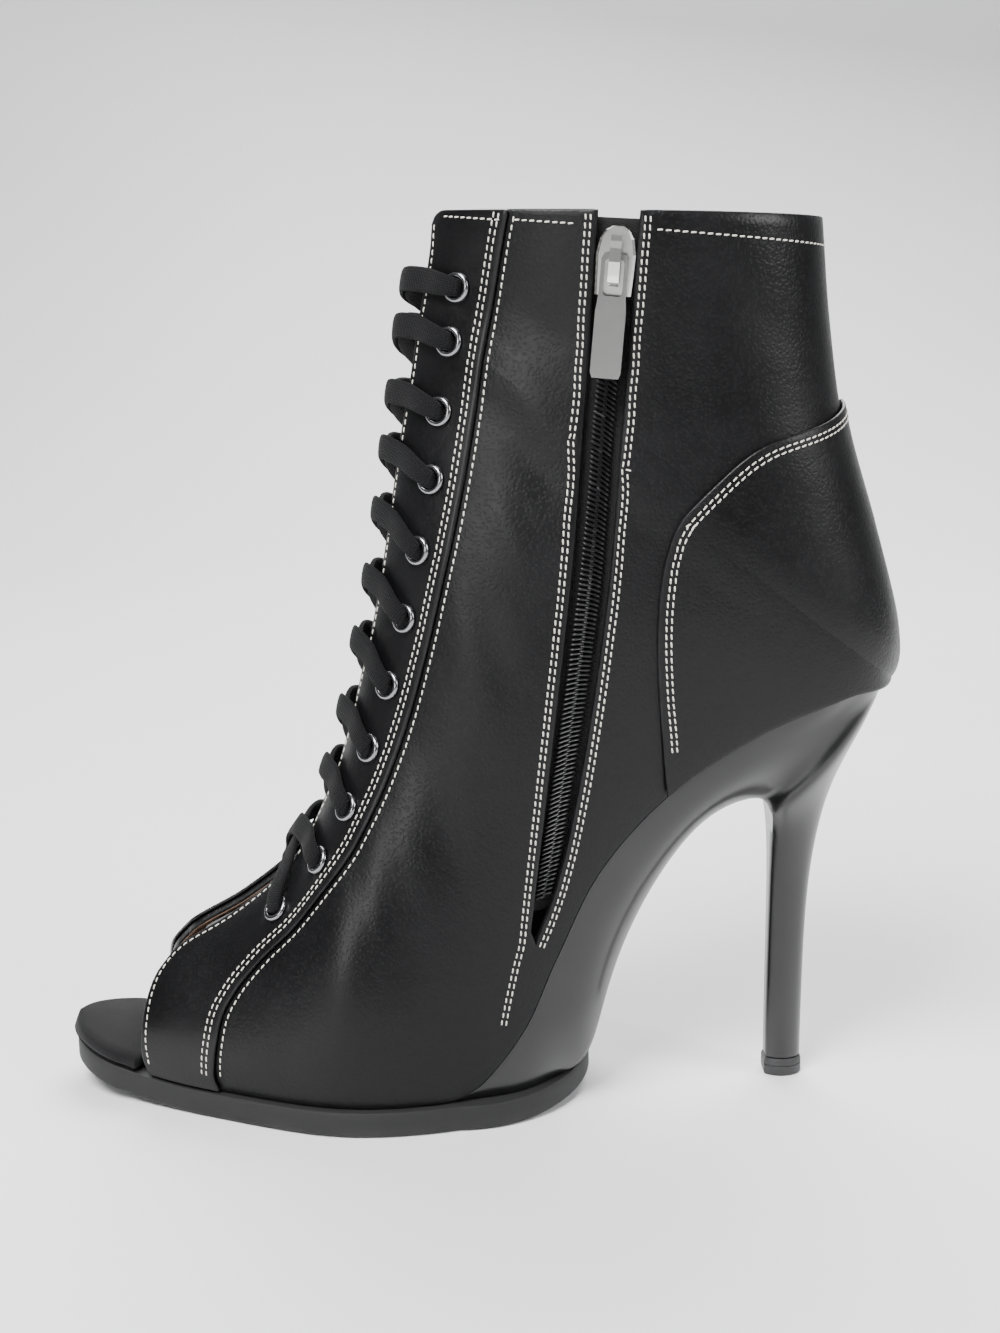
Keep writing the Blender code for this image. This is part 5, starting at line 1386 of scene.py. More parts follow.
@dataclass
class Sole:
    """Outsole, insole, heel piece and heel tip."""

    lip: float = 0.0023
    chamfer: float = 0.0012
    insole_thick: float = 0.0043
    insole_roll: float = 0.0011
    seat_ease: float = 0.0012
    toe_round: float = 0.073
    toe_power: float = 1.4
    toe_middle: float = 0.044
    tip_angle: float = math.radians(84)
    outsole_round: float = 0.480
    insole_wide: float = 0.088
    insole_inside: float = 0.098
    upper_wall: float = 0.0020
    sag: float = 0.0002
    heel_inset: float = 0.0005
    seat_belly: float = 0.325
    stem_depth: float = 0.0098
    stem_width: float = 0.0096
    tip_thick: float = 0.0050
    tip_lip: float = 0.0004
    breast_width: float = 0.0210
    breast_share: float = 0.62
    # station, share of the length and share of the seat's height
    underside: tuple = (
        (5.7, 0.472, 0), (6.2, 0.51, 0), (7, 0.568, 0), (7.6, 0.602, 0), (8, 0.622, 0),
        (8.3, 0.6355, 0.12), (8.7, 0.646, 0.235), (9.2, 0.667, 0.355), (9.88, 0.713, 0.535),
        (10.5, 0.756, 0.658), (11, 0.786, 0.704), (11.8, 0.815, 0.724), (12.4, 0.832, 0.725),
        (13, 0.843, 0.715),
    )
    # back: share of the length and of the seat's height; front: the same; half width share
    stem: tuple = (
        (0.976, 0.975, 0.845, 0.708, 0.35), (0.957, 0.9, 0.849, 0.69, 0.3),
        (0.933, 0.795, 0.851, 0.655, 0.215), (0.919, 0.716, 0.852, 0.61, 0.155),
        (0.907, 0.61, 0.852, 0.545, 0.112), (0.9, 0.505, 0.852, 0.47, 0.094),
        (0.896, 0.395, 0.8515, 0.38, 0.086), (0.894, 0.25, 0.851, 0.245, 0.082),
        (0.8925, 0.12, 0.8505, 0.12, 0.08),
    )

    def toe_rounding(self, share: Array, tip: float, half: Array, side: Side) -> Array:
        """Half width of a round toe on its leaning middle: a superellipse."""
        middle = side.value * self.toe_middle * LAST.ball_width
        r = np.clip((self.toe_round - share) / (self.toe_round - tip), 0, 1)
        return middle + (half - middle) * np.sqrt(1 - r**self.toe_power)

    def outsole_half(self, share: Array, side: Side, inset: float) -> Array:
        """Half width of the outsole, round at both ends."""
        share = np.asarray(share, float)
        tip = (self.insole_roll + inset) / LAST.length
        half = LAST.feather_half(share, side) + self.lip - inset
        half = np.where(share < self.toe_round, self.toe_rounding(share, tip, half, side), half)
        rear = LAST.outsole_end - inset / LAST.length
        r = np.clip((share - self.outsole_round) / (rear - self.outsole_round), 0, 1)
        full = LAST.feather_half(np.minimum(share, self.outsole_round), side) + self.lip - inset
        return np.where(share > self.outsole_round, full * np.sqrt(1 - r**1.9), half)

    def outsole(self) -> Skin:
        """Rings across the outsole, closer together where its ends are round."""
        quarter = np.sin(even(self.tip_angle, 0, 26))
        start = self.insole_roll / LAST.length
        shares = np.concatenate([self.toe_round - (self.toe_round - start) * quarter,
                                 even(self.toe_round, self.outsole_round, 70)[1:-1],
                                 self.outsole_round + (LAST.outsole_end - self.outsole_round)
                                 * quarter[::-1]])
        bend = even(0, math.pi / 2, 5)
        inset = np.concatenate([self.chamfer * (1 - np.sin(bend)), [0, 0, 0.0001, 0.0003, 0.0008]])
        rise = np.concatenate([self.chamfer * (1 - np.cos(bend)),
                               np.array([0.4, 0.7, 0.9, 0.97, 1.0]) * LAST.outsole_thick])
        sides = []
        for side in Side:
            pull = (shares[:, None] - 0.35) * (1 - 2 * inset / LAST.length) + 0.35
            half = np.stack([self.outsole_half(pull[:, k], side, inset[k])
                             for k in range(len(inset))], 1)
            sides.append(np.stack([LAST.x_at(pull), LAST.mid_y + side.value * half,
                                   LAST.sole_bottom(pull) + rise], -1))
        return Skin().tube(both_halves(*sides))

    def foot_shares(self) -> tuple[Array, Array]:
        """Stations and shares of the feather line where the ribs meet it, toe first."""
        station = RIBS.places(Side.INNER)[:, 3, 0][::-1]
        station = station[station <= LAST.heel_station]
        return station, LAST.section(station)[2]

    def insole(self) -> Skin:
        """Rings across the insole: full width at the toe, inside the upper behind it."""
        toe = self.toe_round * (1 - np.sin(even(self.tip_angle, 0, 30)))
        _, foot = self.foot_shares()
        shares = np.concatenate([toe, even(self.insole_wide, 0.155, 24), foot])
        shares = np.unique(np.round(shares, 7))
        tuck = self.upper_wall + 2 * LAST.clear + self.sag
        end = LAST.seat_end - (tuck + self.seat_ease) / LAST.length
        squeeze = (end - LAST.seat_round) / (LAST.seat_end - LAST.seat_round)
        x = np.where(shares > LAST.seat_round,
                     LAST.seat_round + (shares - LAST.seat_round) * squeeze, shares)
        lean = LAST.base_normal(x)
        angle = even(0, 1, 13)
        inset = 0.65 * np.abs(2 * angle - 0.95)**3.4
        inset[0] = 0.22
        halves = {side: self._insole_half(shares, side, tuck) for side in Side}
        slim = np.minimum(1, (halves[Side.INNER] + halves[Side.OUTER]) / 2 / self.insole_thick)
        lift = angle * self.insole_thick + self.sag
        sides = []
        for side in Side:
            half = halves[side][:, None] - inset * (self.insole_thick * slim)[:, None]
            sides.append(np.stack([LAST.x_at(x)[:, None] + lean[:, :1] * lift,
                                   LAST.mid_y + side.value * half,
                                   LAST.base_line(x)[:, None] + lean[:, 1:] * lift], -1))
        return Skin().tube(both_halves(*sides))

    def _insole_half(self, share: Array, side: Side, tuck: float) -> Array:
        """Half width of the insole."""
        table, roll = np.array(LAST.feather), self.insole_roll * 0.6
        out = self.outsole_half(share, side, 0) + roll
        edge = LAST.feather_half(self.toe_round, side) + self.lip + roll
        out = np.where(share < self.toe_round, self.toe_rounding(share, 0, edge, side), out)
        seat = LAST.seat_share(share)
        column = table[:, 1 if side is Side.INNER else 2]
        wide = read_column(table[:, 0], column, share) * LAST.ball_width
        tucked = (wide - tuck) * np.sqrt(np.maximum(0.004, 1 - seat**LAST.seat_power))
        share = np.clip((share - self.insole_wide) / (self.insole_inside - self.insole_wide), 0, 1)
        return out + (tucked - out) * smooth_step(share)

    @staticmethod
    def heel_rings(top: Array, bottom: Array, top_half: Array, bottom_half: Array,
                   belly: Array, count: int = 20) -> tuple[Array, Array]:
        """Near and far halves of rings from top edge to underside.

        The half width follows the sine of an angle, and the way down its cosine.
        """
        belly = np.maximum(belly, np.maximum(top_half, bottom_half) * 1.001)
        start = np.arcsin(np.minimum(top_half / belly, 1))
        end = math.pi - np.arcsin(np.minimum(bottom_half / belly, 1))
        angle = start[:, None] + (end - start)[:, None] * even(0, 1, count)
        down = (np.cos(start)[:, None] - np.cos(angle)) / (np.cos(start) - np.cos(end))[:, None]
        flat = top[:, None] + down[..., None] * (bottom - top)[:, None]
        wide = belly[:, None] * np.sin(angle)
        near = np.stack([flat[..., 0], LAST.mid_y - wide, flat[..., 1]], -1)
        return near, near[:, ::-1] * (1, -1, 1) + (0, 2 * LAST.mid_y, 0)

    def heel(self) -> Skin:
        """Wedge over the outsole, arch and slim stem in one run of rings."""
        table = np.array(self.underside)
        station, share = self.foot_shares()
        carried = station >= table[0, 0]
        station, share = station[carried], share[carried]
        lean = LAST.base_normal(share)
        seat = LAST.seat_share(share)
        top = np.stack([LAST.x_at(share) - lean[:, 0] * LAST.clear - self.heel_inset * seat**2,
                        LAST.base_line(share) - lean[:, 1] * LAST.clear], -1)
        low_share = read_column(table[:, 0], table[:, 1], station)
        low = read_column(table[:, 0], table[:, 2], station) * LAST.heel_seat
        floor = LAST.outsole_thick + LAST.clear + LAST.sole_bottom(
            np.minimum(low_share, LAST.outsole_end))
        bottom = np.stack([LAST.x_at(low_share), np.maximum(low, floor)], -1)
        grow = smooth_step(np.clip((low_share - LAST.outsole_end) / 0.05, 0, 1))
        breast = self.breast_width / 2 * (1 - 0.35 * np.clip((low_share - 0.80) / 0.05, 0, 1))
        halves = []
        for side in Side:
            top_half = np.maximum(LAST.feather_half(share, side) - self.heel_inset, 0)
            on_sole = np.minimum(top_half * 0.97, self.outsole_half(np.minimum(low_share, 0.60),
                                                                    side, 0.0025))
            under = on_sole + (breast - on_sole) * grow
            belly = np.where(share > LAST.seat_round,
                             np.maximum(top_half, self.seat_belly * LAST.heel_width), top_half)
            halves.append(self.heel_rings(top, bottom, top_half, under, belly)
                          [0 if side is Side.INNER else 1])
        back, high, front, low, half = rows_curve(
            self.stem, even(0, len(self.stem) - 1, 60)).T
        centre = (self.stem[-1][0] + self.stem[-1][2]) / 2
        slim = self.stem_depth / (self.stem[-1][0] - self.stem[-1][2]) / LAST.length - 1
        back = centre + (back - centre) * (1 + slim * (1 - high))
        front = centre + (front - centre) * (1 + slim * (1 - low))
        wide = self.stem_width / (2 * self.stem[-1][4] * LAST.heel_width) - 1
        belly = half * LAST.heel_width * (1 + wide * (1 - high))
        near, far = self.heel_rings(np.stack([LAST.x_at(back), high * LAST.heel_seat], -1),
                                    np.stack([LAST.x_at(front), low * LAST.heel_seat], -1),
                                    0 * belly, belly * self.breast_share, belly)
        end = self.stem_ring(self.tip_thick + LAST.clear, 0)
        rings = np.concatenate([np.concatenate(halves, 1), np.concatenate([near, far], 1), end])
        round_ring = even(0, 1, rings.shape[1])
        ease = np.clip(np.minimum(round_ring, 1 - round_ring) / 0.10, 0, 1)[None, :, None]
        soft = softened(rings.reshape(len(rings), -1), 6.0).reshape(rings.shape)
        stem = np.clip((np.arange(len(rings)) - len(share)) / 6, 0, 1)[:, None, None]
        return Skin().tube(rings + (soft - rings) * np.maximum(ease, stem))

    def stem_ring(self, height: float, lip: float) -> Array:
        """Level ring at the stem's end, wider by the lip."""
        centre = float(LAST.x_at((self.stem[-1][0] + self.stem[-1][2]) / 2))
        reach, wide = self.stem_depth / 2 + lip, np.array([self.stem_width / 2 + lip])
        near, far = self.heel_rings(np.array([[centre + reach, height]]),
                                    np.array([[centre - reach, height]]), 0 * wide,
                                    wide * self.breast_share, wide)
        return np.concatenate([near, far], 1)

    def tip(self) -> Skin:
        """Top piece under the heel with rounded edges and a groove."""
        t = self.tip_thick
        lip = self.tip_lip
        profile = ((t, -0.0004), (t * 0.97, 0), (t * 0.78, lip), (t * 0.60, lip),
                   (t * 0.57, lip - 0.0002), (t * 0.54, lip), (0.0005, lip),
                   (0.0001, lip - 0.0002), (0, lip - 0.0005))
        return Skin().tube(np.concatenate([self.stem_ring(height, out) for height, out in profile]))

    def build(self) -> None:
        """Build the four pieces."""
        tip_rubber = Rubber("tip_rubber_black", (0.02, 0.02, 0.021), 0.5, 0.003)
        for skin, name, finish, node, sharp in (
                (self.outsole(), "outsole_rubber", Rubber("outsole_rubber_black"), "outsole", 40),
                (self.insole(), "insole_suede", Suede(), "insole", 50),
                (self.heel(), "heel_lacquered", Lacquer(), "heel", 50),
                (self.tip(), "heel_tip_rubber", tip_rubber, "heel_tip", 35)):
            skin.build(name, [finish.material()], stands_for=[node], sharp=sharp)


# ---------------------------------------------------------------- seams


@dataclass(frozen=True)
class Seam:
    """Row of stitches along a path on the last."""

    side: Side
    places: Array
    shift: float = 0.0
    lift: float = 0.0013
    pitch: float = 2.05
    width: float = 0.34

    def path(self) -> tuple[Array, Array]:
        """Places and points along the seam, moved aside by the shift in millimetres."""
        count = len(self.places)
        place = rows_curve(self.places, even(0, count - 1, 40 * count))
        if self.shift:
            place = LAST.shifted(place, self.side, np.full(len(place), self.shift * MM))
        return place, LAST.over(place, self.side, self.lift)


@dataclass
class Stitcher:
    """Sews seams: each stitch is a thin bead whose ends dip into the leather."""

    gap: float = 0.24
    lean: float = 0.10
    reach: float = 0.4 * MM
    columns: int = 6

    def sew(self, skin: Skin, seam: Seam) -> None:
        """Add the stitches of one seam.

        Each bead has five rings. Its half width is the square root of a bell along the
        stitch, and its ends sink by the square of the distance from the middle.
        """
        place, points = seam.path()
        arc = run_length(points)
        count = max(2, round(arc[-1] / (seam.pitch * MM)))
        middle = (np.arange(count) + 0.5) / count * arc[-1]
        relief = FOLDS.puckers(points, seam.side) if seam.lift > 0.001 else 0 * arc
        normal = LAST.normal(place, seam.side)
        points = points + normal * relief[:, None]
        spot = read_path(middle, arc, points)
        up = unit(read_path(middle, arc, normal))
        along = unit(read_path(middle + self.reach, arc, points)
                     - read_path(middle - self.reach, arc, points))
        aside = unit(np.cross(up, along))
        along = unit(along + aside * self.lean)
        half = arc[-1] / count * (1 - self.gap) / 2
        v = np.array((-1.0, -0.72, 0.0, 0.72, 1.0))
        radius = seam.width * MM / 2 * np.array((0.55, 0.92, 1.0, 0.92, 0.55))
        sink = seam.width * MM * (0.18 - 0.75 * v**4)
        angle = circle(self.columns)
        centre = (spot[:, None] + along[:, None] * (v * half)[:, None]
                  + up[:, None] * sink[:, None])
        ring = (aside[:, None, None] * np.cos(angle)[:, None] * 1.25
                + up[:, None, None] * np.sin(angle)[:, None])
        body = centre[:, :, None] + ring * radius[:, None, None]
        lie = np.broadcast_to((v * half / MM)[:, None], body.shape[:-1])
        skin.add(body, beads(body.shape[:3], [(0, 1, 2, 3), (0, 3, 4, 5)],
                             [(3, 2, 1, 0), (5, 4, 3, 0)]),
                 along=lie, across=np.broadcast_to(np.cos(angle), body.shape[:-1]))


@dataclass
class Seams:
    """All the visible stitching."""

    thread: Thread = Thread()
    facing_gap: tuple[float, float, float] = (-3.4, -2.0, 1.5)
    zip_front: tuple[float, float] = (-1.35, -2.6)
    zip_rear: tuple[float, float] = (1.05, 2.3)
    counter: tuple[float, float] = (1.65, 2.95)
    edge: float = 1.35
    on_facing: float = 0.0013
    on_counter: float = 0.00155
    row_top: float = 17.95
    collar_row: float = 17.72
    foot_gap: float = 0.012
    zip_tail: tuple = ((7.66, 0.612), (7.40, 0.6120), (7.10, 0.6170), (6.86, 0.6260))

    def build(self) -> None:
        """Sew the facings, the zip, the counter and the collar."""
        material = self.thread.material()
        for name, seams in (("facing_stitches", self._facings()), ("zip_stitches", self._zip()),
                            ("counter_stitches", self._counter()),
                            ("collar_stitches", self._collar())):
            skin, hand = Skin(), Stitcher()
            for seam in seams:
                hand.sew(skin, seam)
            skin.build(name, [material], sharp=70)

    def _facings(self) -> list[Seam]:
        """Double and single row at the facing's seam, and one row inside the throat."""
        seams = []
        toe = np.array(RIBS.toe_ribs)[1:-1, 2:4]
        run = np.concatenate([RIBS.soft_seam(Side.INNER)[::9], toe])
        run[0, 0] = 17.9
        for side in Side:
            foot = LAST.edge_turn(run[:, 0], side) - self.foot_gap
            rear = np.stack([run[:, 0], np.minimum(run[:, 1], foot)], -1)
            seams += [Seam(side, rear, shift, self.on_facing if shift < 0 else 0.0)
                      for shift in self.facing_gap]
            seams.append(Seam(side, RIBS.places(side)[6:-4:6, 0], self.edge))
        return seams

    def _zip(self) -> list[Seam]:
        """Double rows beside the slot; the front pair runs on to the feather line."""
        top, whole = self.row_top, RIBS.soft_slot
        slot = whole[::15]
        start = [np.interp(top, whole[::-1, k], whole[::-1, k + 1]) for k in (0, 2)]
        slot = np.concatenate([[[top, start[0], top, start[1]]], slot[slot[:, 0] < 17.8]])
        front = np.concatenate([slot[:-1, :2], self.zip_tail])
        return [Seam(Side.INNER, run, shift, 0.0)
                for run, shifts in ((front, self.zip_front), (slot[:, 2:], self.zip_rear))
                for shift in shifts]

    def _counter(self) -> list[Seam]:
        """Two rows inside the counter's rolled edge, on both sides."""
        run = RIBS.counter_line(RIBS.counter(Side.INNER))[:-1:4]
        return [Seam(side, run, shift, self.on_counter) for side in Side for shift in self.counter]

    def _collar(self) -> list[Seam]:
        """One row under the collar, broken by the zip on the inner side."""
        rows = [(Side.INNER, 0.30, 0.405), (Side.INNER, 0.53, 0.995), (Side.OUTER, 0.30, 0.995)]
        seams = [Seam(side, np.stack(paired(self.collar_row, even(start, end, 24)), -1), 0.0, 0.0)
                 for side, start, end in rows]
        return seams + [Seam(side, np.stack(paired(17.70, even(0.135, 0.28, 12)), -1))
                        for side in Side]


# ---------------------------------------------------------------- eyelets and laces


@dataclass
class Eyelets:
    """Rolled metal rings in both facings."""

    bore: float = 0.0023
    outer: float = 0.0039
    seat: float = 0.0016
    height: float = 0.0009
    wall: float = 0.0020
    metal: Metal = Metal("eyelet_gunmetal", (0.25, 0.25, 0.26), 0.20)
    sides: int = 44

    def profile(self) -> Array:
        """Closed profile (radius, height): a barrel and a flange that is rolled over."""
        middle, half = (self.bore + self.outer) / 2, (self.outer - self.bore) / 2
        angle = even(math.pi, 0, 9)
        top = np.stack([middle + half * np.cos(angle),
                        self.seat - 0.0002 + self.height * np.sin(angle)**0.8], -1)
        under = np.array([(self.outer - 0.0003, self.seat - 0.0005), (self.bore + 0.0005,
                          self.seat - 0.0006), (self.bore + 0.0004, 0.0003 - self.wall),
                         (self.bore, 0.0003 - self.wall)])
        return np.concatenate([top, under])

    def frame(self, place: tuple[float, float], side: Side) -> tuple[Array, Array]:
        """Centre and axes (across, up, outwards) on the facing."""
        station, turn = place
        normal = LAST.outward(station, turn, side)
        up = LAST.point(station + 0.05, turn, side) - LAST.point(station - 0.05, turn, side)
        up = unit(up - normal * (up * normal).sum())
        return LAST.point(station, turn, side), np.stack([np.cross(up, normal), up, normal])

    def build(self) -> None:
        """Build the rings of both sides."""
        profile = self.profile()
        angle = circle(self.sides)[:, None]
        local = np.stack([profile[:, 0] * np.cos(angle), profile[:, 0] * np.sin(angle),
                          profile[:, 1] + 0 * angle], -1)
        number = np.arange(local.shape[0] * local.shape[1]).reshape(local.shape[:2])
        a, b = np.roll(number, -1, 0), np.roll(number, -1, 1)
        both = np.roll(a, -1, 1)
        faces = np.stack([number, a, both, b], -1).reshape(-1, 4)
        metal = self.metal.material()
        for side, word in ((Side.INNER, "inner"), (Side.OUTER, "outer")):
            skin = Skin()
            for place in FOLDS.eyelets:
                centre, axes = self.frame(place, side)
                skin.add(centre + local @ axes, faces)
            skin.build(f"eyelet_rings_{word}", [metal], sharp=45, stands_for=[
                f"eyelet_{word}_{k:02d}" for k in range(1, len(FOLDS.eyelets) + 1)])


@dataclass
class Laces:
    """Two lace ends that cross over the throat and run through the eyelets."""

    width: float = 0.0064
    thick: float = 0.0017
    under: float = -0.0026
    cotton: Cotton = Cotton()
    columns: int = 16

    def run(self, start: tuple[float, float], end: tuple[float, float], lift: float,
            final: bool) -> tuple[Array, Array, Array, Array]:
        """One crossing: up out of an eyelet, over the throat and under the far facing.

        Args:
            start: station and signed turn of the eyelet that it comes out of.
            end: station and signed turn of the eyelet that it goes to.
            lift: height over the last in the middle of the throat.
            final: whether it goes over the far facing, down into the last eyelet.

        Returns:
            Stations, signed turns, lifts and widths (shares) of the guide points.
        """
        v = np.array((0.0, 0.0, 0.0, 0.075, 0.20, 0.36, 0.50, 0.62, 0.72, 0.82, 0.92))
        lifts = np.array((self.under, -0.0005, 0.0021, 0.0031, 0.0028, lift + 0.0002, lift,
                          lift - 0.0012, self.under + 0.0014, self.under, self.under))
        wide = np.array((0.72, 0.70, 0.72, 0.88, 1.0, 1.0, 1.0, 1.0, 1.0, 0.95, 0.85))
        if final:
            v = np.concatenate([v[:7], (0.66, 0.80, 0.92, 1.0, 1.0, 1.0)])
            lifts = np.concatenate([lifts[:7], (lift + 0.0002, 0.0029, 0.0031, 0.0021, -0.0005,
                                                self.under)])
            wide = np.concatenate([wide[:7], (1.0, 1.0, 0.9, 0.72, 0.70, 0.70)])
        turn = start[1] + (end[1] - start[1]) * v
        station = start[0] + (end[0] - start[0]) * v
        return station, turn, lifts, wide

    def lace(self, signs: int) -> Array:
        """Guide points of one lace from the collar down, from side to side."""
        rows = FOLDS.eyelets
        sign, guide = signs, []
        for number, (high, low) in enumerate(zip(rows, rows[1:])):
            lift = 0.0026 if (number % 2 == 0) == (signs > 0) else 0.0040
            guide.append(np.stack(self.run((high[0], sign * high[1]), (low[0], -sign * low[1]),
                                           lift, number == len(rows) - 2), -1))
            sign = -sign
        return np.concatenate(guide)

    def ribbon(self, skin: Skin, guide: Array) -> None:
        """Sweep the flat oval of the lace along its guide points.

        The oval is a superellipse; its width lies along the cross product of the last's
        normal and the way that the lace runs over the throat.
        """
        spot = LAST.signed(guide[:, 0], guide[:, 1], guide[:, 2])
        normal = LAST.signed_normal(guide[:, 0], guide[:, 1])
        flow = np.roll(spot, -3, 0) - np.roll(spot, 3, 0)
        flow[:3], flow[-3:] = flow[3], flow[-4]
        across = np.cross(normal, flow)
        table = np.concatenate([spot, unit(across), guide[:, 3:]], -1)
        step = even(0, len(table) - 1, 9 * len(table))
        dense = rows_curve(table, step)
        path, across, wide = dense[:, :3], unit(dense[:, 3:6]), dense[:, 6]
        along = unit(np.gradient(path, axis=0))
        across = unit(across - along * (across * along).sum(-1, keepdims=True))
        up = np.cross(across, along)
        angle = circle(self.columns)
        c, s = np.cos(angle), np.sin(angle)
        flat = np.sign(c) * np.abs(c)**0.8 * self.width / 2
        tall = np.sign(s) * np.abs(s)**0.7 * self.thick / 2
        swell = (1 + 0.35 * (1 - wide) / 0.3)[:, None, None]
        rings = (path[:, None] + across[:, None] * (flat * wide[:, None])[..., None]
                 + up[:, None] * tall[:, None] * swell)
        run = run_length(path) / MM
        skin.tube(rings, along=run[:, None], across=flat[None] / MM)

    def build(self) -> None:
        """Build both laces as one piece, and the bar under the facings at the toe end."""
        skin = Skin()
        station, turn = FOLDS.eyelets[-1]
        v = even(-1, 1, 9)
        bar = np.stack([station + 0 * v, turn * v, self.under - 0.0002 + 0 * v, 0.9 + 0 * v], -1)
        for guide in (self.lace(-1), self.lace(1), bar):
            self.ribbon(skin, guide)
        skin.build("laces", [self.cotton.material()], stands_for=["lace_crossings"], sharp=60)


# ---------------------------------------------------------------- zip


@dataclass
class Zip:
    """Woven tape, coil, slider and pull."""

    wall: float = 0.0008
    depth: float = 0.0032
    margin: float = 0.0030
    chain_width: float = 0.0062
    chain_thick: float = 0.0016
    chain_edge: float = 0.0007
    pitch: float = 0.00125
    slider_row: float = 0.92
    coil_start: float = 0.0062
    coil_lean: float = 0.31
    coil_rise: float = 0.18
    tape_grid: tuple[int, int] = (160, 25)
    cord: tuple[float, float, float] = (0.0042, 0.0005, 0.00025)
    rounding: float = 0.28 * MM
    tape: Webbing = Webbing()
    coil: Nylon = Nylon()
    metal: Metal = Metal("zip_nickel", (0.78, 0.775, 0.76), 0.20)

    def build(self) -> None:
        """Build the tape and the coil, and dress the slider and its pull."""
        rows = even(0.35, len(RIBS.zip_slot) - 1.9, self.tape_grid[0])
        width = RIBS.slot_width(rows)[:, None]
        margin = self.margin / width
        across = even(0, 1, self.tape_grid[1])[None] * (1 + 2 * margin) - margin
        away, thick, high = self.cord
        cord = np.exp(-((np.abs(across - 0.5) * width - away) / thick)**2) * high
        skin = Skin().wall(RIBS.slot(rows[:, None], across, -self.depth + cord * 0.5),
                           RIBS.slot(rows[:, None], across, -self.depth - self.wall),
                           quads(*self.tape_grid))
        skin.build("zip_tape_woven", [self.tape.material()], stands_for=["zip_tape"])
        self._coil()
        metal = self.metal.material()
        for node in ("zip_slider", "zip_pull"):
            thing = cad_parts[node]
            thing.data.materials.clear()
            thing.data.materials.append(metal)
            bevel = thing.modifiers.new("rounded_edges", "BEVEL")
            bevel.width, bevel.segments, bevel.limit_method = self.rounding, 3, "ANGLE"
            bevel.angle_limit, bevel.harden_normals = math.radians(32), False

    def _coil(self) -> None:
        """Coil: slanted rounded turns, half of them from each side, that meet in the middle."""
        dense = even(self.slider_row, len(RIBS.zip_slot) - 2.2, 1200)
        middle = RIBS.slot(dense, 0.5, 0)
        arc = run_length(middle)
        count = int((arc[-1] - self.coil_start) / (self.pitch / 2))
        place = self.coil_start + np.arange(count) * self.pitch / 2
        row = np.interp(place, arc, dense)
        width = RIBS.slot_width(row)
        half = np.minimum(self.chain_width / 2, width / 2 - self.chain_edge)
        sign = np.where(np.arange(count) % 2 == 0, 1.0, -1.0)
        v = even(-0.16, 1.0, 7)
        low = -self.depth + LAST.clear
        angle = circle(8)
        thick = self.chain_thick / 2
        swell = np.array((0.75, 1.0, 0.95, 0.9, 0.95, 1.0, 0.55))
        step = np.interp(place, arc, np.gradient(dense, arc))
        rings_row = (row[:, None, None] + (step * self.pitch)[:, None, None]
                     * (self.coil_lean * np.cos(angle)[None, None] * swell[None, :, None]
                        + self.coil_rise * v[None, :, None]))
        across = 0.5 + (sign * half / width)[:, None, None] * v[None, :, None] + 0 * rings_row
        lift = low + thick + thick * np.sin(angle)[None, None] * swell[None, :, None]
        points = RIBS.slot(rings_row, across, lift + 0 * rings_row)
        caps = [(0, 1, 2, 3), (0, 3, 4, 7), (4, 5, 6, 7)]
        skin = Skin().add(points, beads(points.shape[:3], caps, caps))
        skin.build("zip_coil_turns", [self.coil.material()], stands_for=["zip_chain"], sharp=80)


# ---------------------------------------------------------------- studio and main


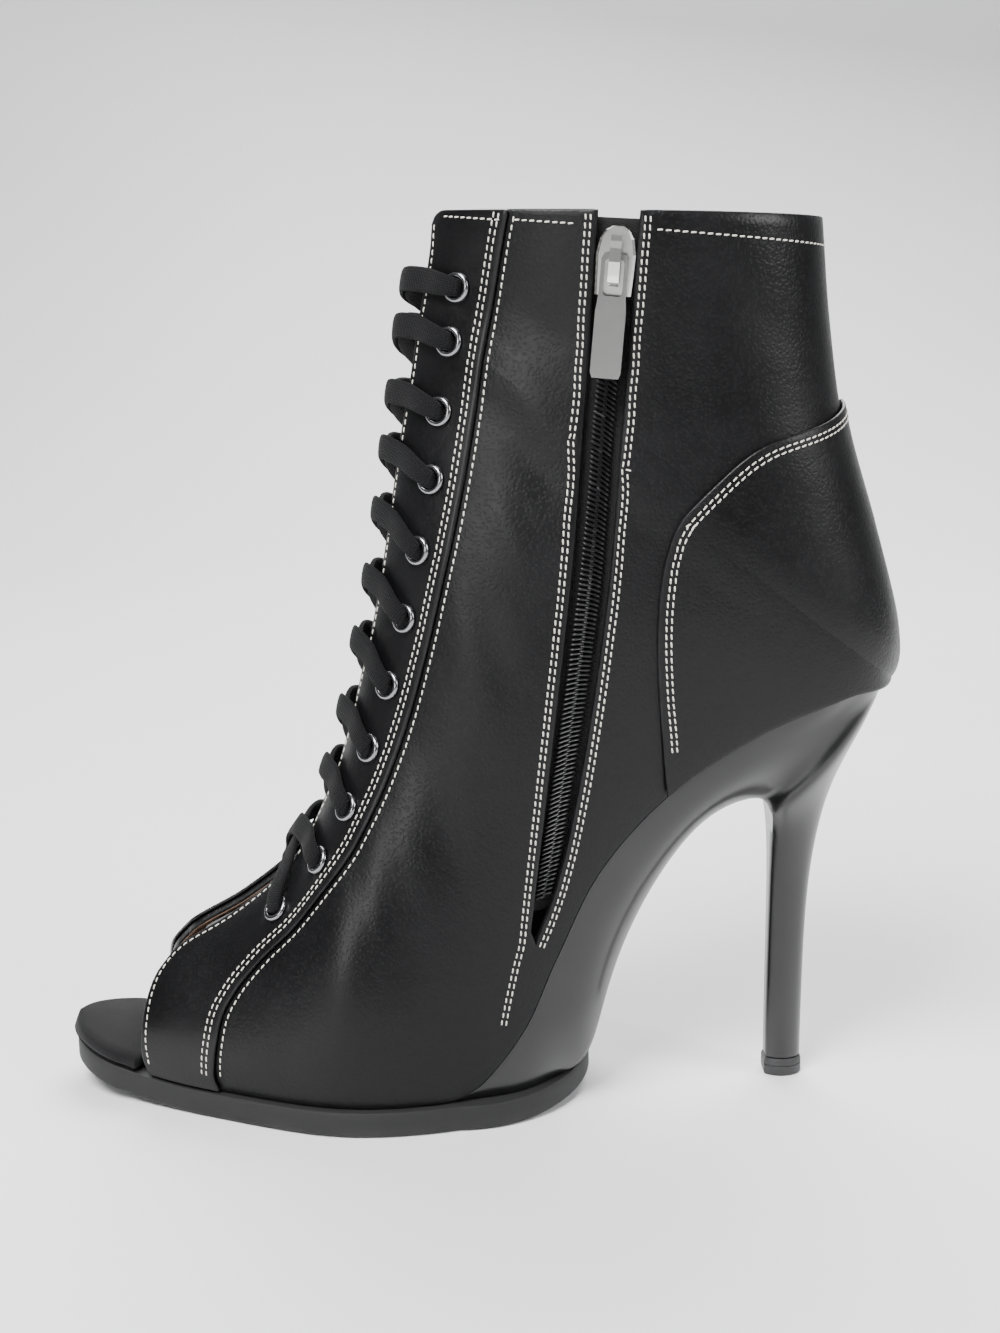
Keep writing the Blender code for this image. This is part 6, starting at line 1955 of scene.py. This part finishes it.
@dataclass
class Studio:
    """Pale floor, soft lights and the camera at the photo's angle."""

    eye: tuple[float, float, float] = (0.0069, -0.50148, 0.216)
    aim: tuple[float, float, float] = (0.0069, 0.00352, 0.11608)
    focal: float = 51.72
    roll: float = math.radians(-0.7)
    lamps: tuple = (  # name, place, size and power
        ("key", (-0.35, -0.55, 1.05), 0.55, 30),
        ("fill", (0.95, -0.45, 0.65), 0.5, 9),
        ("back", (0.15, 0.85, 1.05), 1.1, 34),
        ("front", (-0.62, -1.05, 0.42), 0.35, 5),
    )
    sky: tuple[float, float, float, float] = (0.85, 0.86, 0.88, 1)
    sky_strength: float = 0.18
    bend_start: float = 0.9
    bend_radius: float = 0.6
    middle_height: float = 0.1

    def build(self) -> None:
        """Build floor, lights, world and camera."""
        self._floor()
        for lamp in self.lamps:
            self._light(*lamp)
        world = bpy.data.worlds.new("studio")
        bpy.context.scene.world = world
        world.use_nodes = True
        background = world.node_tree.nodes["Background"].inputs
        background[0].default_value, background[1].default_value = self.sky, self.sky_strength
        self._camera()

    def _floor(self) -> None:
        """Plain pale floor that rises behind in one sweep."""
        start, radius = self.bend_start, self.bend_radius
        bend = even(0, math.pi / 2, 16)[1:]
        run = np.concatenate([even(-3, start, 30), start + radius * np.sin(bend),
                              np.full(8, start + radius)])
        rise = np.concatenate([np.zeros(30), radius - radius * np.cos(bend), even(0.8, 3, 8)])
        across = even(-3, 3, 13)
        points = np.stack(np.broadcast_arrays(across[None], run[:, None], rise[:, None]), -1)
        g = Graph("studio_paper")
        tone = g.noise(g.place(), 3, 2)
        g.set(Base_Color=g.blend(tone, (0.76, 0.76, 0.765, 1), (0.82, 0.82, 0.825, 1)),
              Roughness=0.75 + tone * 0.1, Normal=g.bump(g.noise(g.place(), 1500, 2), 0.00003, 0.2))
        mesh = bpy.data.meshes.new("floor")
        mesh.from_pydata(points.reshape(-1, 3).tolist(), [],
                         quads(*points.shape[:2])[:, ::-1].tolist())
        mesh.shade_smooth()
        mesh.materials.append(g.material)
        floor = bpy.data.objects.new("floor", mesh)
        bpy.context.scene.collection.objects.link(floor)

    def _light(self, name: str, place: tuple[float, float, float], size: float,
               power: float) -> None:
        """One soft area light aimed at the boot."""
        data = bpy.data.lights.new(name, "AREA")
        data.shape, data.size, data.energy = "SQUARE", size, power
        lamp = bpy.data.objects.new(name, data)
        bpy.context.scene.collection.objects.link(lamp)
        aim = Vector((0, 0, self.middle_height)) - Vector(place)
        lamp.matrix_world = (Matrix.Translation(place)
                             @ aim.to_track_quat("-Z", "Y").to_matrix().to_4x4())

    def _camera(self) -> None:
        """Camera of the photo."""
        data = bpy.data.cameras.new("camera")
        data.sensor_fit, data.sensor_width, data.lens = "AUTO", 36, self.focal
        data.clip_start, data.clip_end = 0.01, 20
        camera = bpy.data.objects.new("camera", data)
        bpy.context.scene.collection.objects.link(camera)
        ahead = (Vector(self.aim) - Vector(self.eye)).normalized()
        right = ahead.cross(Vector((0, 0, 1))).normalized()
        up = right.cross(ahead)
        level = Matrix((right, up, -ahead)).transposed().to_4x4()
        camera.matrix_world = (Matrix.Translation(self.eye) @ level
                               @ Matrix.Rotation(self.roll, 4, "Z"))
        bpy.context.scene.camera = camera


def main() -> None:
    """Build every piece of the looks."""
    logging.basicConfig(level=logging.INFO)
    for maker in (Upper, Tongue, Sole, Seams, Eyelets, Laces, Zip, Studio):
        maker().build()
    bpy.context.view_layer.update()


if __name__ == "__main__":
    main()
